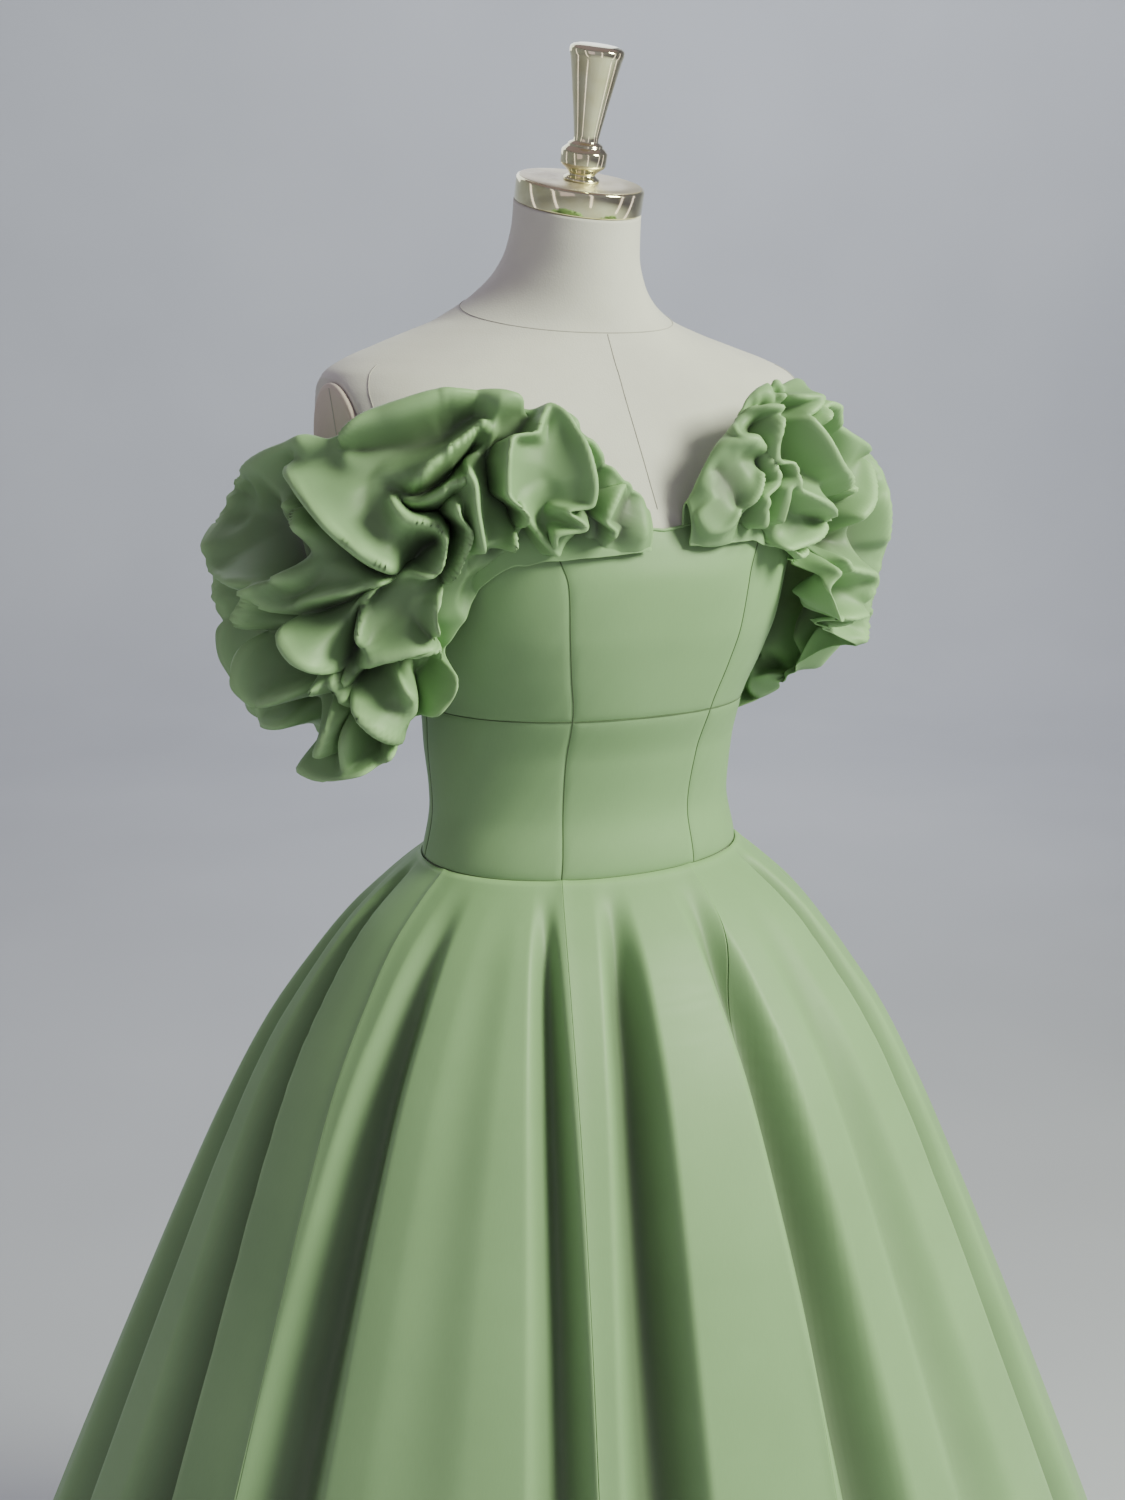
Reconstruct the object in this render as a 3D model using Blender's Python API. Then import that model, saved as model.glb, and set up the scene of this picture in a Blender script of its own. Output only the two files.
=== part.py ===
# An off-shoulder a-line gown on a limbless dress form, built piece by piece.
# Metres, +Z up. The wearer faces -Y, so the wearer's right is -X. The floor is z = 0.
# Angles run around the wearer from centre front, positive towards the wearer's right.
import bpy
import bmesh
import numpy as np

# Driving sizes
waistHeight = 1.0455
waistDip = 0.0045
underBustHeight = 1.160
underBustRise = 0.003
clothWall = 0.0016
formClearance = 0.0011
seamGap = 0.0003
hemHeight = 0.008

# Stand and metal work
baseRadius = 0.170
baseThickness = 0.014
poleRadius = 0.0125
torsoBottom = 0.800
neckTop = 1.5165
neckLean = 0.257
neckLeanFrom = 1.435
capRadius = 0.0465
capHeight = 0.0175
armPlateHeight = 1.337
armPlateOut = 0.1803
armPlateLean = 0.12
armPlateThickness = 0.005
armPlateHalfDepth = 0.047
armPlateHalfHeight = 0.056

# Zip pull
zipAxisHeight = 1.262
zipAxisStandOff = 0.0042
zipTabLength = 0.022
zipTabWidth = 0.0062
zipTabThickness = 0.0012
zipLugThickness = 0.0018
zipPinRadius = 0.0006

# The form: height, half width, front depth, back depth, squareness of the ring, and how far
# the ring's sides lie behind its middle
formColumns = ("height", "halfWidth", "front", "back", "squareness", "sidesBack")
formRows = (
    (torsoBottom, 0.1500, 0.0850, 0.1120, 2.30, 0.000),
    (0.860, 0.1630, 0.0980, 0.1200, 2.30, 0.000),
    (0.930, 0.1560, 0.1000, 0.1080, 2.25, 0.000),
    (1.000, 0.1360, 0.0970, 0.0800, 2.10, 0.000),
    (1.046, 0.1254, 0.0974, 0.0654, 2.05, 0.000),
    (1.085, 0.1182, 0.0915, 0.0620, 2.05, 0.000),
    (1.128, 0.1200, 0.0995, 0.0745, 2.10, 0.000),
    (1.163, 0.1210, 0.1150, 0.0850, 2.20, 0.000),
    (1.200, 0.1330, 0.1275, 0.0920, 2.30, 0.000),
    (1.226, 0.1405, 0.1345, 0.0950, 2.35, 0.000),
    (1.262, 0.1480, 0.1385, 0.0980, 2.35, 0.000),
    (1.280, 0.1570, 0.1350, 0.0985, 2.45, 0.000),
    (1.300, 0.1700, 0.1280, 0.0995, 2.60, 0.000),
    (1.330, 0.1880, 0.1100, 0.1000, 3.00, 0.000),
    (1.360, 0.1940, 0.0905, 0.0980, 3.00, 0.000),
    (1.385, 0.1920, 0.0740, 0.0925, 2.80, 0.002),
    (1.398, 0.1860, 0.0660, 0.0880, 2.60, 0.005),
    (1.408, 0.1700, 0.0590, 0.0830, 2.40, 0.010),
    (1.418, 0.1440, 0.0530, 0.0785, 2.20, 0.016),
    (1.428, 0.1160, 0.0475, 0.0740, 2.10, 0.021),
    (1.437, 0.0930, 0.0455, 0.0700, 2.00, 0.022),
    (1.452, 0.0690, 0.0445, 0.0625, 2.00, 0.016),
    (1.467, 0.0560, 0.0440, 0.0565, 2.00, 0.008),
    (1.483, 0.0490, 0.0438, 0.0525, 2.00, 0.003),
    (1.503, 0.0465, 0.0445, 0.0485, 2.00, 0.000),
    (neckTop, 0.0462, 0.0455, 0.0465, 2.00, 0.000),
)

# The bodice's top edge: degrees from centre front, height
topEdgeColumns = ("angle", "height")
topEdgeRows = (
    (0, 1.296),
    (8, 1.303),
    (20, 1.318),
    (35, 1.326),
    (50, 1.316),
    (62, 1.290),
    (75, 1.266),
    (90, 1.256),
    (105, 1.258),
    (125, 1.274),
    (150, 1.290),
    (180, 1.298),
)

# Bodice and midriff panels: name, degrees at the first and the last edge, columns across
bodiceColumns = ("name", "start", "end", "columns")
bodiceRows = (
    ("front_centre", -25.4, 25.4, 8),
    ("side_right", 25.4, 96, 9),
    ("back_right", 96, 180, 11),
    ("back_left", -180, -96, 11),
    ("side_left", -96, -25.4, 9),
)
bodiceHeightSteps = 7
midriffHeightSteps = 4

# The skirt's flare: drop below the waist seam, distance out from the waist
flareColumns = ("drop", "out")
flareRows = (
    (0.000, 0.000),
    (0.015, 0.020),
    (0.045, 0.054),
    (0.085, 0.087),
    (0.130, 0.119),
    (0.195, 0.154),
    (0.255, 0.182),
    (0.360, 0.228),
    (0.460, 0.270),
    (0.560, 0.311),
    (1.050, 0.505),
)
frontFlattening = 0.10
angleSettling = 0.15

# Skirt gores: name, degrees of the first edge at the waist and lower down, then of the last edge
goreColumns = ("name", "startWaist", "startLow", "endWaist", "endLow")
goreRows = (
    ("front_centre", -22, -9, 25.4, 21.5),
    ("front_side_right", 25.4, 21.5, 75, 64),
    ("back_side_right", 75, 64, 128, 116),
    ("back_right", 128, 116, 180, 180),
    ("back_left", -180, -180, -128, -118),
    ("back_side_left", -128, -118, -75, -66),
    ("front_side_left", -75, -66, -22, -9),
)
goreStep = 4.0
goreHeightSteps = (0, 0.014, 0.045, 0.09, 0.16, 0.27, 0.43, 0.68, 1)

# Skirt folds: degrees at the waist and lower down, depth, half width in degrees, drop at
# which the fold is half grown, and how far its bottom leans around under its front edge
foldColumns = ("waist", "low", "depth", "halfWidth", "start", "lean")
foldRows = (
    (95, 72, 0.034, 5.0, 0.030, -2.2),
    (-49, -39, 0.034, 5.0, 0.025, 2.2),
    (150, 150, 0.032, 5.0, 0.030, -2.0),
    (-150, -148, 0.032, 5.0, 0.030, 2.0),
    (31, 25.0, 0.014, 4.0, 0.060, 0),
    (12, 16.0, 0.022, 5.0, 0.070, 0),
    (-14, -14, 0.020, 6.0, 0.080, 0),
    (43, 41, 0.012, 6.0, 0.070, 0),
    (62, 56, 0.016, 6.0, 0.110, 0),
    (-31, -27, 0.016, 6.0, 0.110, 0),
    (-60, -54, 0.014, 6.5, 0.120, 0),
    (-74, -70, 0.018, 7.0, 0.110, 0),
    (-95, -88, 0.022, 7.5, 0.100, 0),
    (-112, -106, 0.018, 7.0, 0.120, 0),
    (-132, -127, 0.020, 7.5, 0.100, 0),
    (-168, -167, 0.020, 7.5, 0.100, 0),
    (112, 93, 0.020, 7.0, 0.100, 0),
    (124, 110, 0.018, 7.0, 0.120, 0),
    (137, 130, 0.022, 7.5, 0.100, 0),
    (168, 169, 0.020, 7.5, 0.100, 0),
)

# The ruffle's seam follows the bodice's top edge, then leaves it to pass around the arm
ruffleFrontStart = 2.5
ruffleFrontEnd = 44.0
ruffleBackStart = 150.0
ruffleBackEnd = 172.0
sleeveFrom = 0.34
sleeveTo = 0.80
sleeveColumns = ("out", "back", "height")
sleeveRows = (
    (0.164, -0.0905, 1.313),
    (0.192, -0.0765, 1.314),
    (0.216, -0.0460, 1.320),
    (0.227, -0.0040, 1.320),
    (0.218, 0.0420, 1.314),
    (0.190, 0.0690, 1.303),
    (0.154, 0.0810, 1.294),
    (0.122, 0.0865, 1.290),
)

# The ruffle's section at places along it from centre front to centre back: degrees that it
# faces, height of its crest and of its free edge on each side, how far its rise leans out
# over the form's shoulder, how far its belly and its edge stand beyond that, and its puff
ruffleColumns = (
    "along", "facing", "crestRight", "hemRight", "crestLeft", "hemLeft", "lean", "belly", "tuck", "puff",
)
ruffleRows = (
    (0.00, 2, 1.310, 1.284, 1.314, 1.286, 0.000, 0.011, 0.008, 0.004),
    (0.05, 8, 1.328, 1.282, 1.358, 1.286, 0.000, 0.019, 0.011, 0.014),
    (0.12, 17, 1.362, 1.281, 1.374, 1.288, 0.000, 0.025, 0.012, 0.024),
    (0.22, 29, 1.368, 1.258, 1.370, 1.262, 0.000, 0.029, 0.013, 0.030),
    (0.32, 40, 1.370, 1.205, 1.350, 1.226, 0.000, 0.034, 0.014, 0.032),
    (0.41, 53, 1.360, 1.145, 1.338, 1.215, 0.000, 0.036, 0.009, 0.032),
    (0.50, 72, 1.340, 1.132, 1.326, 1.205, 0.000, 0.028, -0.004, 0.032),
    (0.58, 91, 1.326, 1.140, 1.320, 1.178, 0.000, 0.024, -0.010, 0.032),
    (0.67, 112, 1.324, 1.144, 1.324, 1.140, 0.004, 0.025, -0.006, 0.032),
    (0.77, 134, 1.336, 1.168, 1.336, 1.160, 0.012, 0.030, 0.004, 0.030),
    (0.86, 150, 1.340, 1.202, 1.340, 1.202, 0.018, 0.028, 0.012, 0.024),
    (0.94, 163, 1.338, 1.225, 1.338, 1.225, 0.015, 0.022, 0.013, 0.013),
    (1.00, 172, 1.322, 1.250, 1.322, 1.250, 0.009, 0.017, 0.014, 0.002),
)
ruffleLength = 0.70
ruffleDepth = 0.24
leftBellyLess = 0.22
riseClearance = 0.0031
bellyClearance = 0.0078

# Ruffle creases between tacks: place along and across at each end, depth share, reach
creaseColumns = ("along1", "across1", "along2", "across2", "share", "reach")
creaseRight = (
    (0.045, 0.50, 0.060, 0.90, 0.9, 0.014),
    (0.125, 0.30, 0.134, 0.52, 0.8, 0.018),
    (0.134, 0.52, 0.118, 0.92, 0.6, 0.024),
    (0.215, 0.26, 0.219, 0.66, 0.8, 0.020),
    (0.219, 0.66, 0.195, 0.98, 0.9, 0.019),
    (0.300, 0.30, 0.292, 0.66, 0.8, 0.020),
    (0.292, 0.66, 0.289, 0.82, 0.9, 0.020),
    (0.468, 0.50, 0.289, 0.82, 1.0, 0.020),
    (0.289, 0.82, 0.485, 0.73, 0.9, 0.018),
    (0.485, 0.73, 0.425, 0.83, 1.0, 0.018),
    (0.425, 0.83, 0.391, 0.98, 1.0, 0.018),
    (0.289, 0.82, 0.345, 0.98, 0.9, 0.018),
    (0.545, 0.40, 0.514, 0.68, 0.9, 0.020),
    (0.514, 0.68, 0.490, 0.82, 0.9, 0.018),
    (0.490, 0.82, 0.520, 0.98, 0.9, 0.020),
    (0.625, 0.36, 0.629, 0.56, 0.8, 0.022),
    (0.629, 0.56, 0.640, 0.80, 0.9, 0.022),
    (0.640, 0.80, 0.600, 0.98, 0.9, 0.020),
    (0.720, 0.36, 0.740, 0.70, 0.9, 0.022),
    (0.740, 0.70, 0.780, 0.98, 0.9, 0.020),
    (0.840, 0.30, 0.860, 0.98, 0.9, 0.020),
    (0.925, 0.34, 0.930, 0.96, 0.9, 0.016),
)
creaseLeft = (
    (0.030, 0.45, 0.035, 0.90, 0.9, 0.014),
    (0.085, 0.34, 0.085, 0.60, 0.9, 0.018),
    (0.085, 0.60, 0.140, 0.90, 0.9, 0.018),
    (0.165, 0.30, 0.165, 0.62, 0.9, 0.020),
    (0.165, 0.62, 0.230, 0.78, 0.9, 0.018),
    (0.140, 0.90, 0.230, 0.78, 0.9, 0.018),
    (0.250, 0.30, 0.240, 0.52, 0.8, 0.020),
    (0.240, 0.52, 0.325, 0.64, 0.8, 0.022),
    (0.325, 0.64, 0.310, 0.86, 0.8, 0.022),
    (0.310, 0.86, 0.420, 0.78, 0.9, 0.020),
    (0.420, 0.50, 0.420, 0.78, 0.9, 0.020),
    (0.420, 0.78, 0.450, 0.98, 0.9, 0.020),
    (0.420, 0.78, 0.524, 0.60, 0.9, 0.020),
    (0.524, 0.60, 0.547, 0.84, 0.9, 0.020),
    (0.547, 0.84, 0.520, 0.98, 0.9, 0.020),
    (0.620, 0.36, 0.640, 0.70, 0.8, 0.022),
    (0.547, 0.84, 0.640, 0.70, 0.9, 0.020),
    (0.640, 0.70, 0.660, 0.98, 0.9, 0.020),
    (0.720, 0.30, 0.730, 0.66, 0.9, 0.022),
    (0.730, 0.66, 0.750, 0.98, 0.8, 0.024),
    (0.840, 0.30, 0.870, 0.96, 0.8, 0.024),
    (0.935, 0.34, 0.935, 0.90, 0.7, 0.016),
)

# Ruffle pieces: name, where each starts and ends along the ruffle, columns
ruffleSteps = 10
rufflePieces = (
    ("ruffle_front", 0.0, 0.34, 20),
    ("ruffle_sleeve", 0.34, 0.82, 28),
    ("ruffle_back", 0.82, 1.0, 11),
)

materialColumns = ("name", "colour", "roughness", "metallic")
materialRows = (
    ("satin", (0.30, 0.42, 0.25), 0.42, 0.0),
    ("jersey", (0.62, 0.61, 0.55), 0.90, 0.0),
    ("plate_cover", (0.42, 0.36, 0.30), 0.80, 0.0),
    ("gold", (0.80, 0.68, 0.42), 0.18, 1.0),
    ("steel", (0.55, 0.55, 0.56), 0.30, 1.0),
    ("zip_metal", (0.34, 0.42, 0.30), 0.35, 1.0),
)


def column(rows, names, name):
    """One column of a table as an array."""
    place = names.index(name)
    return np.array([row[place] for row in rows], float)


def smooth(knots, values, at):
    """A curve through table values that never swings past them."""
    at = np.clip(at, knots[0], knots[-1])
    gaps = np.diff(knots)
    slopes = np.diff(values) / gaps
    bends = np.zeros_like(values)
    bends[0] = slopes[0]
    bends[-1] = slopes[-1]
    product = slopes[:-1] * slopes[1:]
    total = slopes[:-1] + slopes[1:]
    same = product > 0
    bends[1:-1][same] = 2 * product[same] / total[same]
    i = np.clip(np.searchsorted(knots, at, side="right") - 1, 0, len(gaps) - 1)
    s = (at - knots[i]) / gaps[i]
    start = (2 * s**3 - 3 * s**2 + 1) * values[i] + (s**3 - 2 * s**2 + s) * gaps[i] * bends[i]
    end = (3 * s**2 - 2 * s**3) * values[i + 1] + (s**3 - s**2) * gaps[i] * bends[i + 1]
    return start + end


def fromTable(rows, names, name, at):
    """The smooth value of one column at places in the table's first column."""
    return smooth(column(rows, names, names[0]), column(rows, names, name), at)


def turned(vector, power):
    """A sine or cosine bent towards a squarer ring."""
    return np.sign(vector) * np.abs(vector) ** power


def formPoint(angle, height):
    """A point on the form's skin. The angle is in degrees."""
    width = fromTable(formRows, formColumns, "halfWidth", height)
    front = fromTable(formRows, formColumns, "front", height)
    back = fromTable(formRows, formColumns, "back", height)
    power = 2 / fromTable(formRows, formColumns, "squareness", height)
    turn = np.radians(angle)
    x = -width * turned(np.sin(turn), power)
    y = (back - front) / 2 - (back + front) / 2 * turned(np.cos(turn), power)
    y = y + fromTable(formRows, formColumns, "sidesBack", height) * np.sin(turn) ** 2
    armPlane = armPlateOut + (height - armPlateHeight) * armPlateLean
    x = np.where(height > armPlateHeight - 0.09, np.clip(x, -armPlane, armPlane), x)
    leaning = np.clip((height - neckLeanFrom) / (neckTop - neckLeanFrom), 0, 1)
    return np.stack([x, y, height + y * np.tan(neckLean) * leaning], -1)


def normals(surface, first, second, step1, step2):
    """Unit normals of a surface from small steps along its two directions."""
    along = surface(first + step1, second) - surface(first - step1, second)
    down = surface(first, second + step2) - surface(first, second - step2)
    out = np.cross(along, down)
    return out / np.linalg.norm(out, axis=-1, keepdims=True)


def bodicePoint(angle, height):
    """A point on the bodice's outer face, off the form by the clearance and the wall."""
    out = -normals(formPoint, angle, height, 0.2, 0.002)
    return formPoint(angle, height) + out * (formClearance + clothWall)


def topEdge(angle):
    away = np.abs((angle + 180) % 360 - 180)
    return fromTable(topEdgeRows, topEdgeColumns, "height", away)


def underBust(angle):
    return underBustHeight + underBustRise * np.cos(np.radians(angle))


def waistSeam(angle):
    return waistHeight - waistDip * np.cos(np.radians(angle))


def settled(waist, low, drop):
    """An angle that starts at its waist value and settles to its lower one."""
    return low + (waist - low) * np.exp(-drop / angleSettling)


def foldAt(row, angle, drop):
    """How deep one fold is here, and how far it leans around."""
    waist, low, depth, halfWidth, start, lean = row
    away = (angle - settled(waist, low, drop) + 180) % 360 - 180
    bell = np.clip(1 - (away / halfWidth) ** 2, 0, None) ** 2
    grown = drop**2 / (drop**2 + start**2)
    return depth * bell * grown, lean * bell * grown


def skirtPoint(angle, drop):
    """A point on the skirt's outer face, a distance below the waist seam."""
    sunk = 0 * (angle + drop)
    leant = 0 * (angle + drop)
    for row in foldRows:
        depth, lean = foldAt(row, angle, drop)
        sunk = sunk + depth
        leant = leant + lean
    seam = waistSeam(angle)
    turn = np.radians(angle + leant)
    out = fromTable(flareRows, flareColumns, "out", drop) - sunk
    facing = np.clip(np.cos(turn), 0, None) ** 4
    out = out * (1 - frontFlattening * facing)
    waist = bodicePoint(angle, seam)
    x = waist[..., 0] - out * np.sin(turn)
    y = waist[..., 1] - out * np.cos(turn)
    return np.stack([x, y, seam - drop], -1)


def railPoints():
    """The ruffle's seam line on the wearer's right, from centre front to centre back."""
    front = np.linspace(ruffleFrontStart, ruffleFrontEnd, 60)
    back = np.linspace(ruffleBackStart, ruffleBackEnd, 60)
    lift = seamGap + 0.0001
    frontRail = liftedEdge(front, lift)
    backRail = liftedEdge(back, lift)
    arm = np.array([(-out, y, z) for out, y, z in sleeveRows])
    stops = np.vstack([frontRail[-12], frontRail[-1], arm, backRail[0], backRail[12]])
    sleeve = throughPoints(stops, np.linspace(1, len(stops) - 2, 161))
    run = np.concatenate([[0], np.cumsum(np.linalg.norm(np.diff(sleeve, axis=0), axis=1))])
    along = [
        np.linspace(0, sleeveFrom, len(front)),
        sleeveFrom + (sleeveTo - sleeveFrom) * run[1:-1] / run[-1],
        np.linspace(sleeveTo, 1, len(back)),
    ]
    return np.concatenate(along), np.vstack([frontRail, sleeve[1:-1], backRail])


def liftedEdge(angle, lift):
    """Points just off the bodice's outer face, along its top edge."""
    height = topEdge(angle)
    out = -normals(formPoint, angle, height, 0.2, 0.002)
    return bodicePoint(angle, height) + out * lift


def throughPoints(points, at):
    """A Catmull-Rom curve. A whole number is a point of the list."""
    last = len(points) - 1
    i = np.clip(np.floor(at).astype(int), 0, last - 1)
    s = (at - i)[..., None]
    before = points[np.clip(i - 1, 0, last)]
    one = points[i]
    two = points[i + 1]
    after = points[np.clip(i + 2, 0, last)]
    bend1 = (two - before) / 2
    bend2 = (after - one) / 2
    start = (2 * s**3 - 3 * s**2 + 1) * one + (s**3 - 2 * s**2 + s) * bend1
    return start + (3 * s**2 - 2 * s**3) * two + (s**3 - s**2) * bend2


railShare, railLine = railPoints()


def ruffleBase(along, across, side):
    """The ruffle before it puffs: up from its seam, over its crest and down to its edge."""
    rail = [np.interp(along, railShare, railLine[:, k]) for k in range(3)]
    facing = np.radians(fromTable(ruffleRows, ruffleColumns, "facing", along))
    crest = fromTable(ruffleRows, ruffleColumns, "crest" + side, along)
    hem = fromTable(ruffleRows, ruffleColumns, "hem" + side, along)
    belly = fromTable(ruffleRows, ruffleColumns, "belly", along)
    if side == "Left":
        belly = belly * (1 - leftBellyLess * np.clip(along / 0.3, 0, 1) * np.clip((0.8 - along) / 0.15, 0, 1))
    tuck = fromTable(ruffleRows, ruffleColumns, "tuck", along)
    seam = rail[2]
    lean = fromTable(ruffleRows, ruffleColumns, "lean", along)
    outs = np.stack([0 * belly, lean + 0.10 * belly, lean + 0.52 * belly, lean + belly, lean + tuck])
    ups = np.stack([seam, seam + 0.78 * (crest - seam), crest, 0.5 * (crest + hem), hem])
    at = across * 4
    i = np.clip(np.floor(at).astype(int), 0, 3)
    s = at - i
    out = sectionCurve(outs, i, s)
    up = sectionCurve(ups, i, s)
    x = rail[0] - out * np.sin(facing)
    y = rail[1] - out * np.cos(facing)
    x, y = clearOfBody(x, y, up, across)
    mirror = 1 if side == "Right" else -1
    return np.stack([x * mirror, y, up + 0 * x], -1)


def clearOfBody(x, y, height, across):
    """The same places, moved straight out where they would come too near the bodice."""
    width = fromTable(formRows, formColumns, "halfWidth", height)
    front = fromTable(formRows, formColumns, "front", height)
    back = fromTable(formRows, formColumns, "back", height)
    power = fromTable(formRows, formColumns, "squareness", height)
    middle = (back - front) / 2
    depth = (back + front) / 2
    ring = (np.abs(x / width) ** power + np.abs((y - middle) / depth) ** power) ** (1 / power)
    reach = np.hypot(x, y - middle)
    blend = np.clip((across - 0.05) / 0.4, 0, 1)
    clearance = riseClearance + (bellyClearance - riseClearance) * blend
    scale = np.maximum(1, 1 / ring + clearance / reach)
    return x * scale, middle + (y - middle) * scale


def sectionCurve(values, i, s):
    """A Catmull-Rom curve through five values that each place along the ruffle has."""
    last = len(values) - 1

    def pick(k):
        return np.take_along_axis(values, np.clip(k, 0, last)[None], 0)[0]

    before, one, two, after = pick(i - 1), pick(i), pick(i + 1), pick(i + 2)
    bend1 = (two - before) / 2
    bend2 = (after - one) / 2
    start = (2 * s**3 - 3 * s**2 + 1) * one + (s**3 - 2 * s**2 + s) * bend1
    return start + (3 * s**2 - 2 * s**3) * two + (s**3 - s**2) * bend2


def creasing(along, across, side):
    """0 in a tacked crease, 1 on a full puff."""
    here = np.stack([along * ruffleLength, across * ruffleDepth], -1)
    left = 0 * (along + across)
    for along1, across1, along2, across2, share, reach in creaseRight if side == "Right" else creaseLeft:
        start = np.array([along1 * ruffleLength, across1 * ruffleDepth])
        run = np.array([along2 * ruffleLength, across2 * ruffleDepth]) - start
        part = np.clip((here - start) @ run / (run @ run), 0, 1)
        away = np.linalg.norm(here - start - part[..., None] * run, axis=-1)
        left = np.maximum(left, share * np.exp(-((away / reach) ** 1.4)))
    return 1 - left


def rufflePoint(along, across, side):
    """A point on the ruffle's outer face."""

    def base(u, v):
        return ruffleBase(u, v, side)

    along = np.clip(along, 0.0006, 0.9994)
    across = np.clip(across, 0.0006, 0.9994)
    out = normals(base, along, across, 0.02, 0.01)
    if side == "Left":
        out = -out
    puff = fromTable(ruffleRows, ruffleColumns, "puff", along)
    fade = np.clip((across - 0.42) / 0.26, 0, 1)
    fade = fade * fade * (3 - 2 * fade)
    return base(along, across) + out * (puff * fade * creasing(along, across, side))[..., None]


def makeMaterials():
    made = {}
    for name, colour, roughness, metallic in materialRows:
        material = bpy.data.materials.new(name)
        material.use_nodes = True
        shader = material.node_tree.nodes["Principled BSDF"]
        shader.inputs["Base Color"].default_value = (*colour, 1)
        shader.inputs["Roughness"].default_value = roughness
        shader.inputs["Metallic"].default_value = metallic
        material.diffuse_color = (*colour, 1)
        made[name] = material
    return made


def addSolid(name, points, faces, material):
    """One closed body with its faces out, shaded smooth but for sharp edges."""
    mesh = bpy.data.meshes.new(name)
    mesh.from_pydata([tuple(p) for p in points], [], faces)
    work = bmesh.new()
    work.from_mesh(mesh)
    bmesh.ops.recalc_face_normals(work, faces=work.faces)
    if work.calc_volume(signed=True) < 0:
        bmesh.ops.reverse_faces(work, faces=work.faces)
    work.to_mesh(mesh)
    work.free()
    mesh.materials.append(material)
    mesh.shade_smooth()
    mesh.set_sharp_from_angle(angle=np.radians(40))
    solid = bpy.data.objects.new(name, mesh)
    bpy.context.scene.collection.objects.link(solid)
    return solid


def gridFaces(points, flip, offset):
    """Triangles over a grid of points. Each square is split along its shorter diagonal."""
    rows, columns = points.shape[:2]
    falling = np.linalg.norm(points[1:, 1:] - points[:-1, :-1], axis=-1)
    rising = np.linalg.norm(points[1:, :-1] - points[:-1, 1:], axis=-1)
    faces = []
    for r in range(rows - 1):
        for c in range(columns - 1):
            a = offset + r * columns + c
            b, d = a + 1, a + columns
            e = d + 1
            pair = [(a, b, e), (a, e, d)] if falling[r, c] < rising[r, c] else [(a, b, d), (b, e, d)]
            faces += [face[::-1] for face in pair] if flip else pair
    return faces


def widened(grid):
    """A grid with one more row and column all round, carried on at the same spacing."""
    grid = np.vstack([2 * grid[:1] - grid[1:2], grid, 2 * grid[-1:] - grid[-2:-1]])
    return np.hstack([2 * grid[:, :1] - grid[:, 1:2], grid, 2 * grid[:, -1:] - grid[:, -2:-1]])


def addWall(name, surface, first, second, turnOut, material):
    """A cloth wall: the surface's grid, the same grid moved in by the wall, and four rims."""
    rows, columns = first.shape
    wide = surface(widened(first), widened(second))
    out = np.cross(wide[1:-1, 2:] - wide[1:-1, :-2], wide[2:, 1:-1] - wide[:-2, 1:-1]) * turnOut
    out /= np.linalg.norm(out, axis=-1, keepdims=True)
    outer = wide[1:-1, 1:-1]
    inner = outer - out * clothWall
    points = np.concatenate([outer.reshape(-1, 3), inner.reshape(-1, 3)])
    count = rows * columns
    faces = gridFaces(outer, False, 0) + gridFaces(outer, True, count)
    ring = list(range(columns))
    ring += [r * columns + columns - 1 for r in range(1, rows)]
    ring += [(rows - 1) * columns + c for c in range(columns - 2, -1, -1)]
    ring += [r * columns for r in range(rows - 2, 0, -1)]
    for a, b in zip(ring, ring[1:] + ring[:1]):
        if a < b:
            faces += [(b, a, b + count), (a, a + count, b + count)]
        else:
            faces += [(b, a, a + count), (b, a + count, b + count)]
    return addSolid(name, points, faces, material)


def ringSolid(name, rings, material):
    """A closed body lofted through rings of equal count, with its ends filled."""
    count = len(rings[0])
    points = np.concatenate(rings)
    faces = [tuple(range(count))[::-1]]
    for level in range(len(rings) - 1):
        for c in range(count):
            a = level * count + c
            b = level * count + (c + 1) % count
            faces.append((a, b, b + count, a + count))
    top = (len(rings) - 1) * count
    faces.append(tuple(range(top, top + count)))
    return addSolid(name, points, faces, material)


def turnedSolid(name, profile, sides, material, lean=0):
    """A body turned about an axis that leans forward from the upright at the neck's top."""
    turn = np.linspace(0, 2 * np.pi, sides, endpoint=False)
    rings = []
    for radius, height in profile:
        x = radius * np.cos(turn)
        y = radius * np.sin(turn)
        up = height - neckTop
        leantY = y * np.cos(lean) - up * np.sin(lean)
        leantZ = y * np.sin(lean) + up * np.cos(lean) + neckTop
        rings.append(np.stack([x, leantY, leantZ], -1))
    return ringSolid(name, rings, material)


def makeForm(materials):
    """The jersey torso, from hip to neck, in one smooth body."""
    angles = np.linspace(-180, 180, 36, endpoint=False)
    heights = np.concatenate([
        np.linspace(torsoBottom, 1.02, 5),
        np.linspace(1.046, 1.330, 15),
        (1.355, 1.375, 1.390, 1.402, 1.413, 1.426, 1.440, 1.458, 1.483, neckTop),
    ])
    rings = [formPoint(angles[::-1], np.full(angles.shape, height)) for height in heights]
    ringSolid("form_torso", rings, materials["jersey"])


def makeArmPlates(materials):
    """The covered plates that close the form where its arms would be."""
    turn = np.linspace(0, 2 * np.pi, 28, endpoint=False)
    for side, name in ((-1, "form_arm_plate_right"), (1, "form_arm_plate_left")):
        rings = []
        for out, size in ((0, 0.985), (0.0012, 1), (0.0038, 1), (armPlateThickness, 0.97)):
            up = armPlateHalfHeight * size * np.sin(turn)
            plane = armPlateOut + up * armPlateLean + seamGap + out
            y = 0.004 + armPlateHalfDepth * size * np.cos(turn)
            rings.append(np.stack([side * plane, y, armPlateHeight + up - out * armPlateLean], -1))
        ringSolid(name, rings, materials["plate_cover"])


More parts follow.
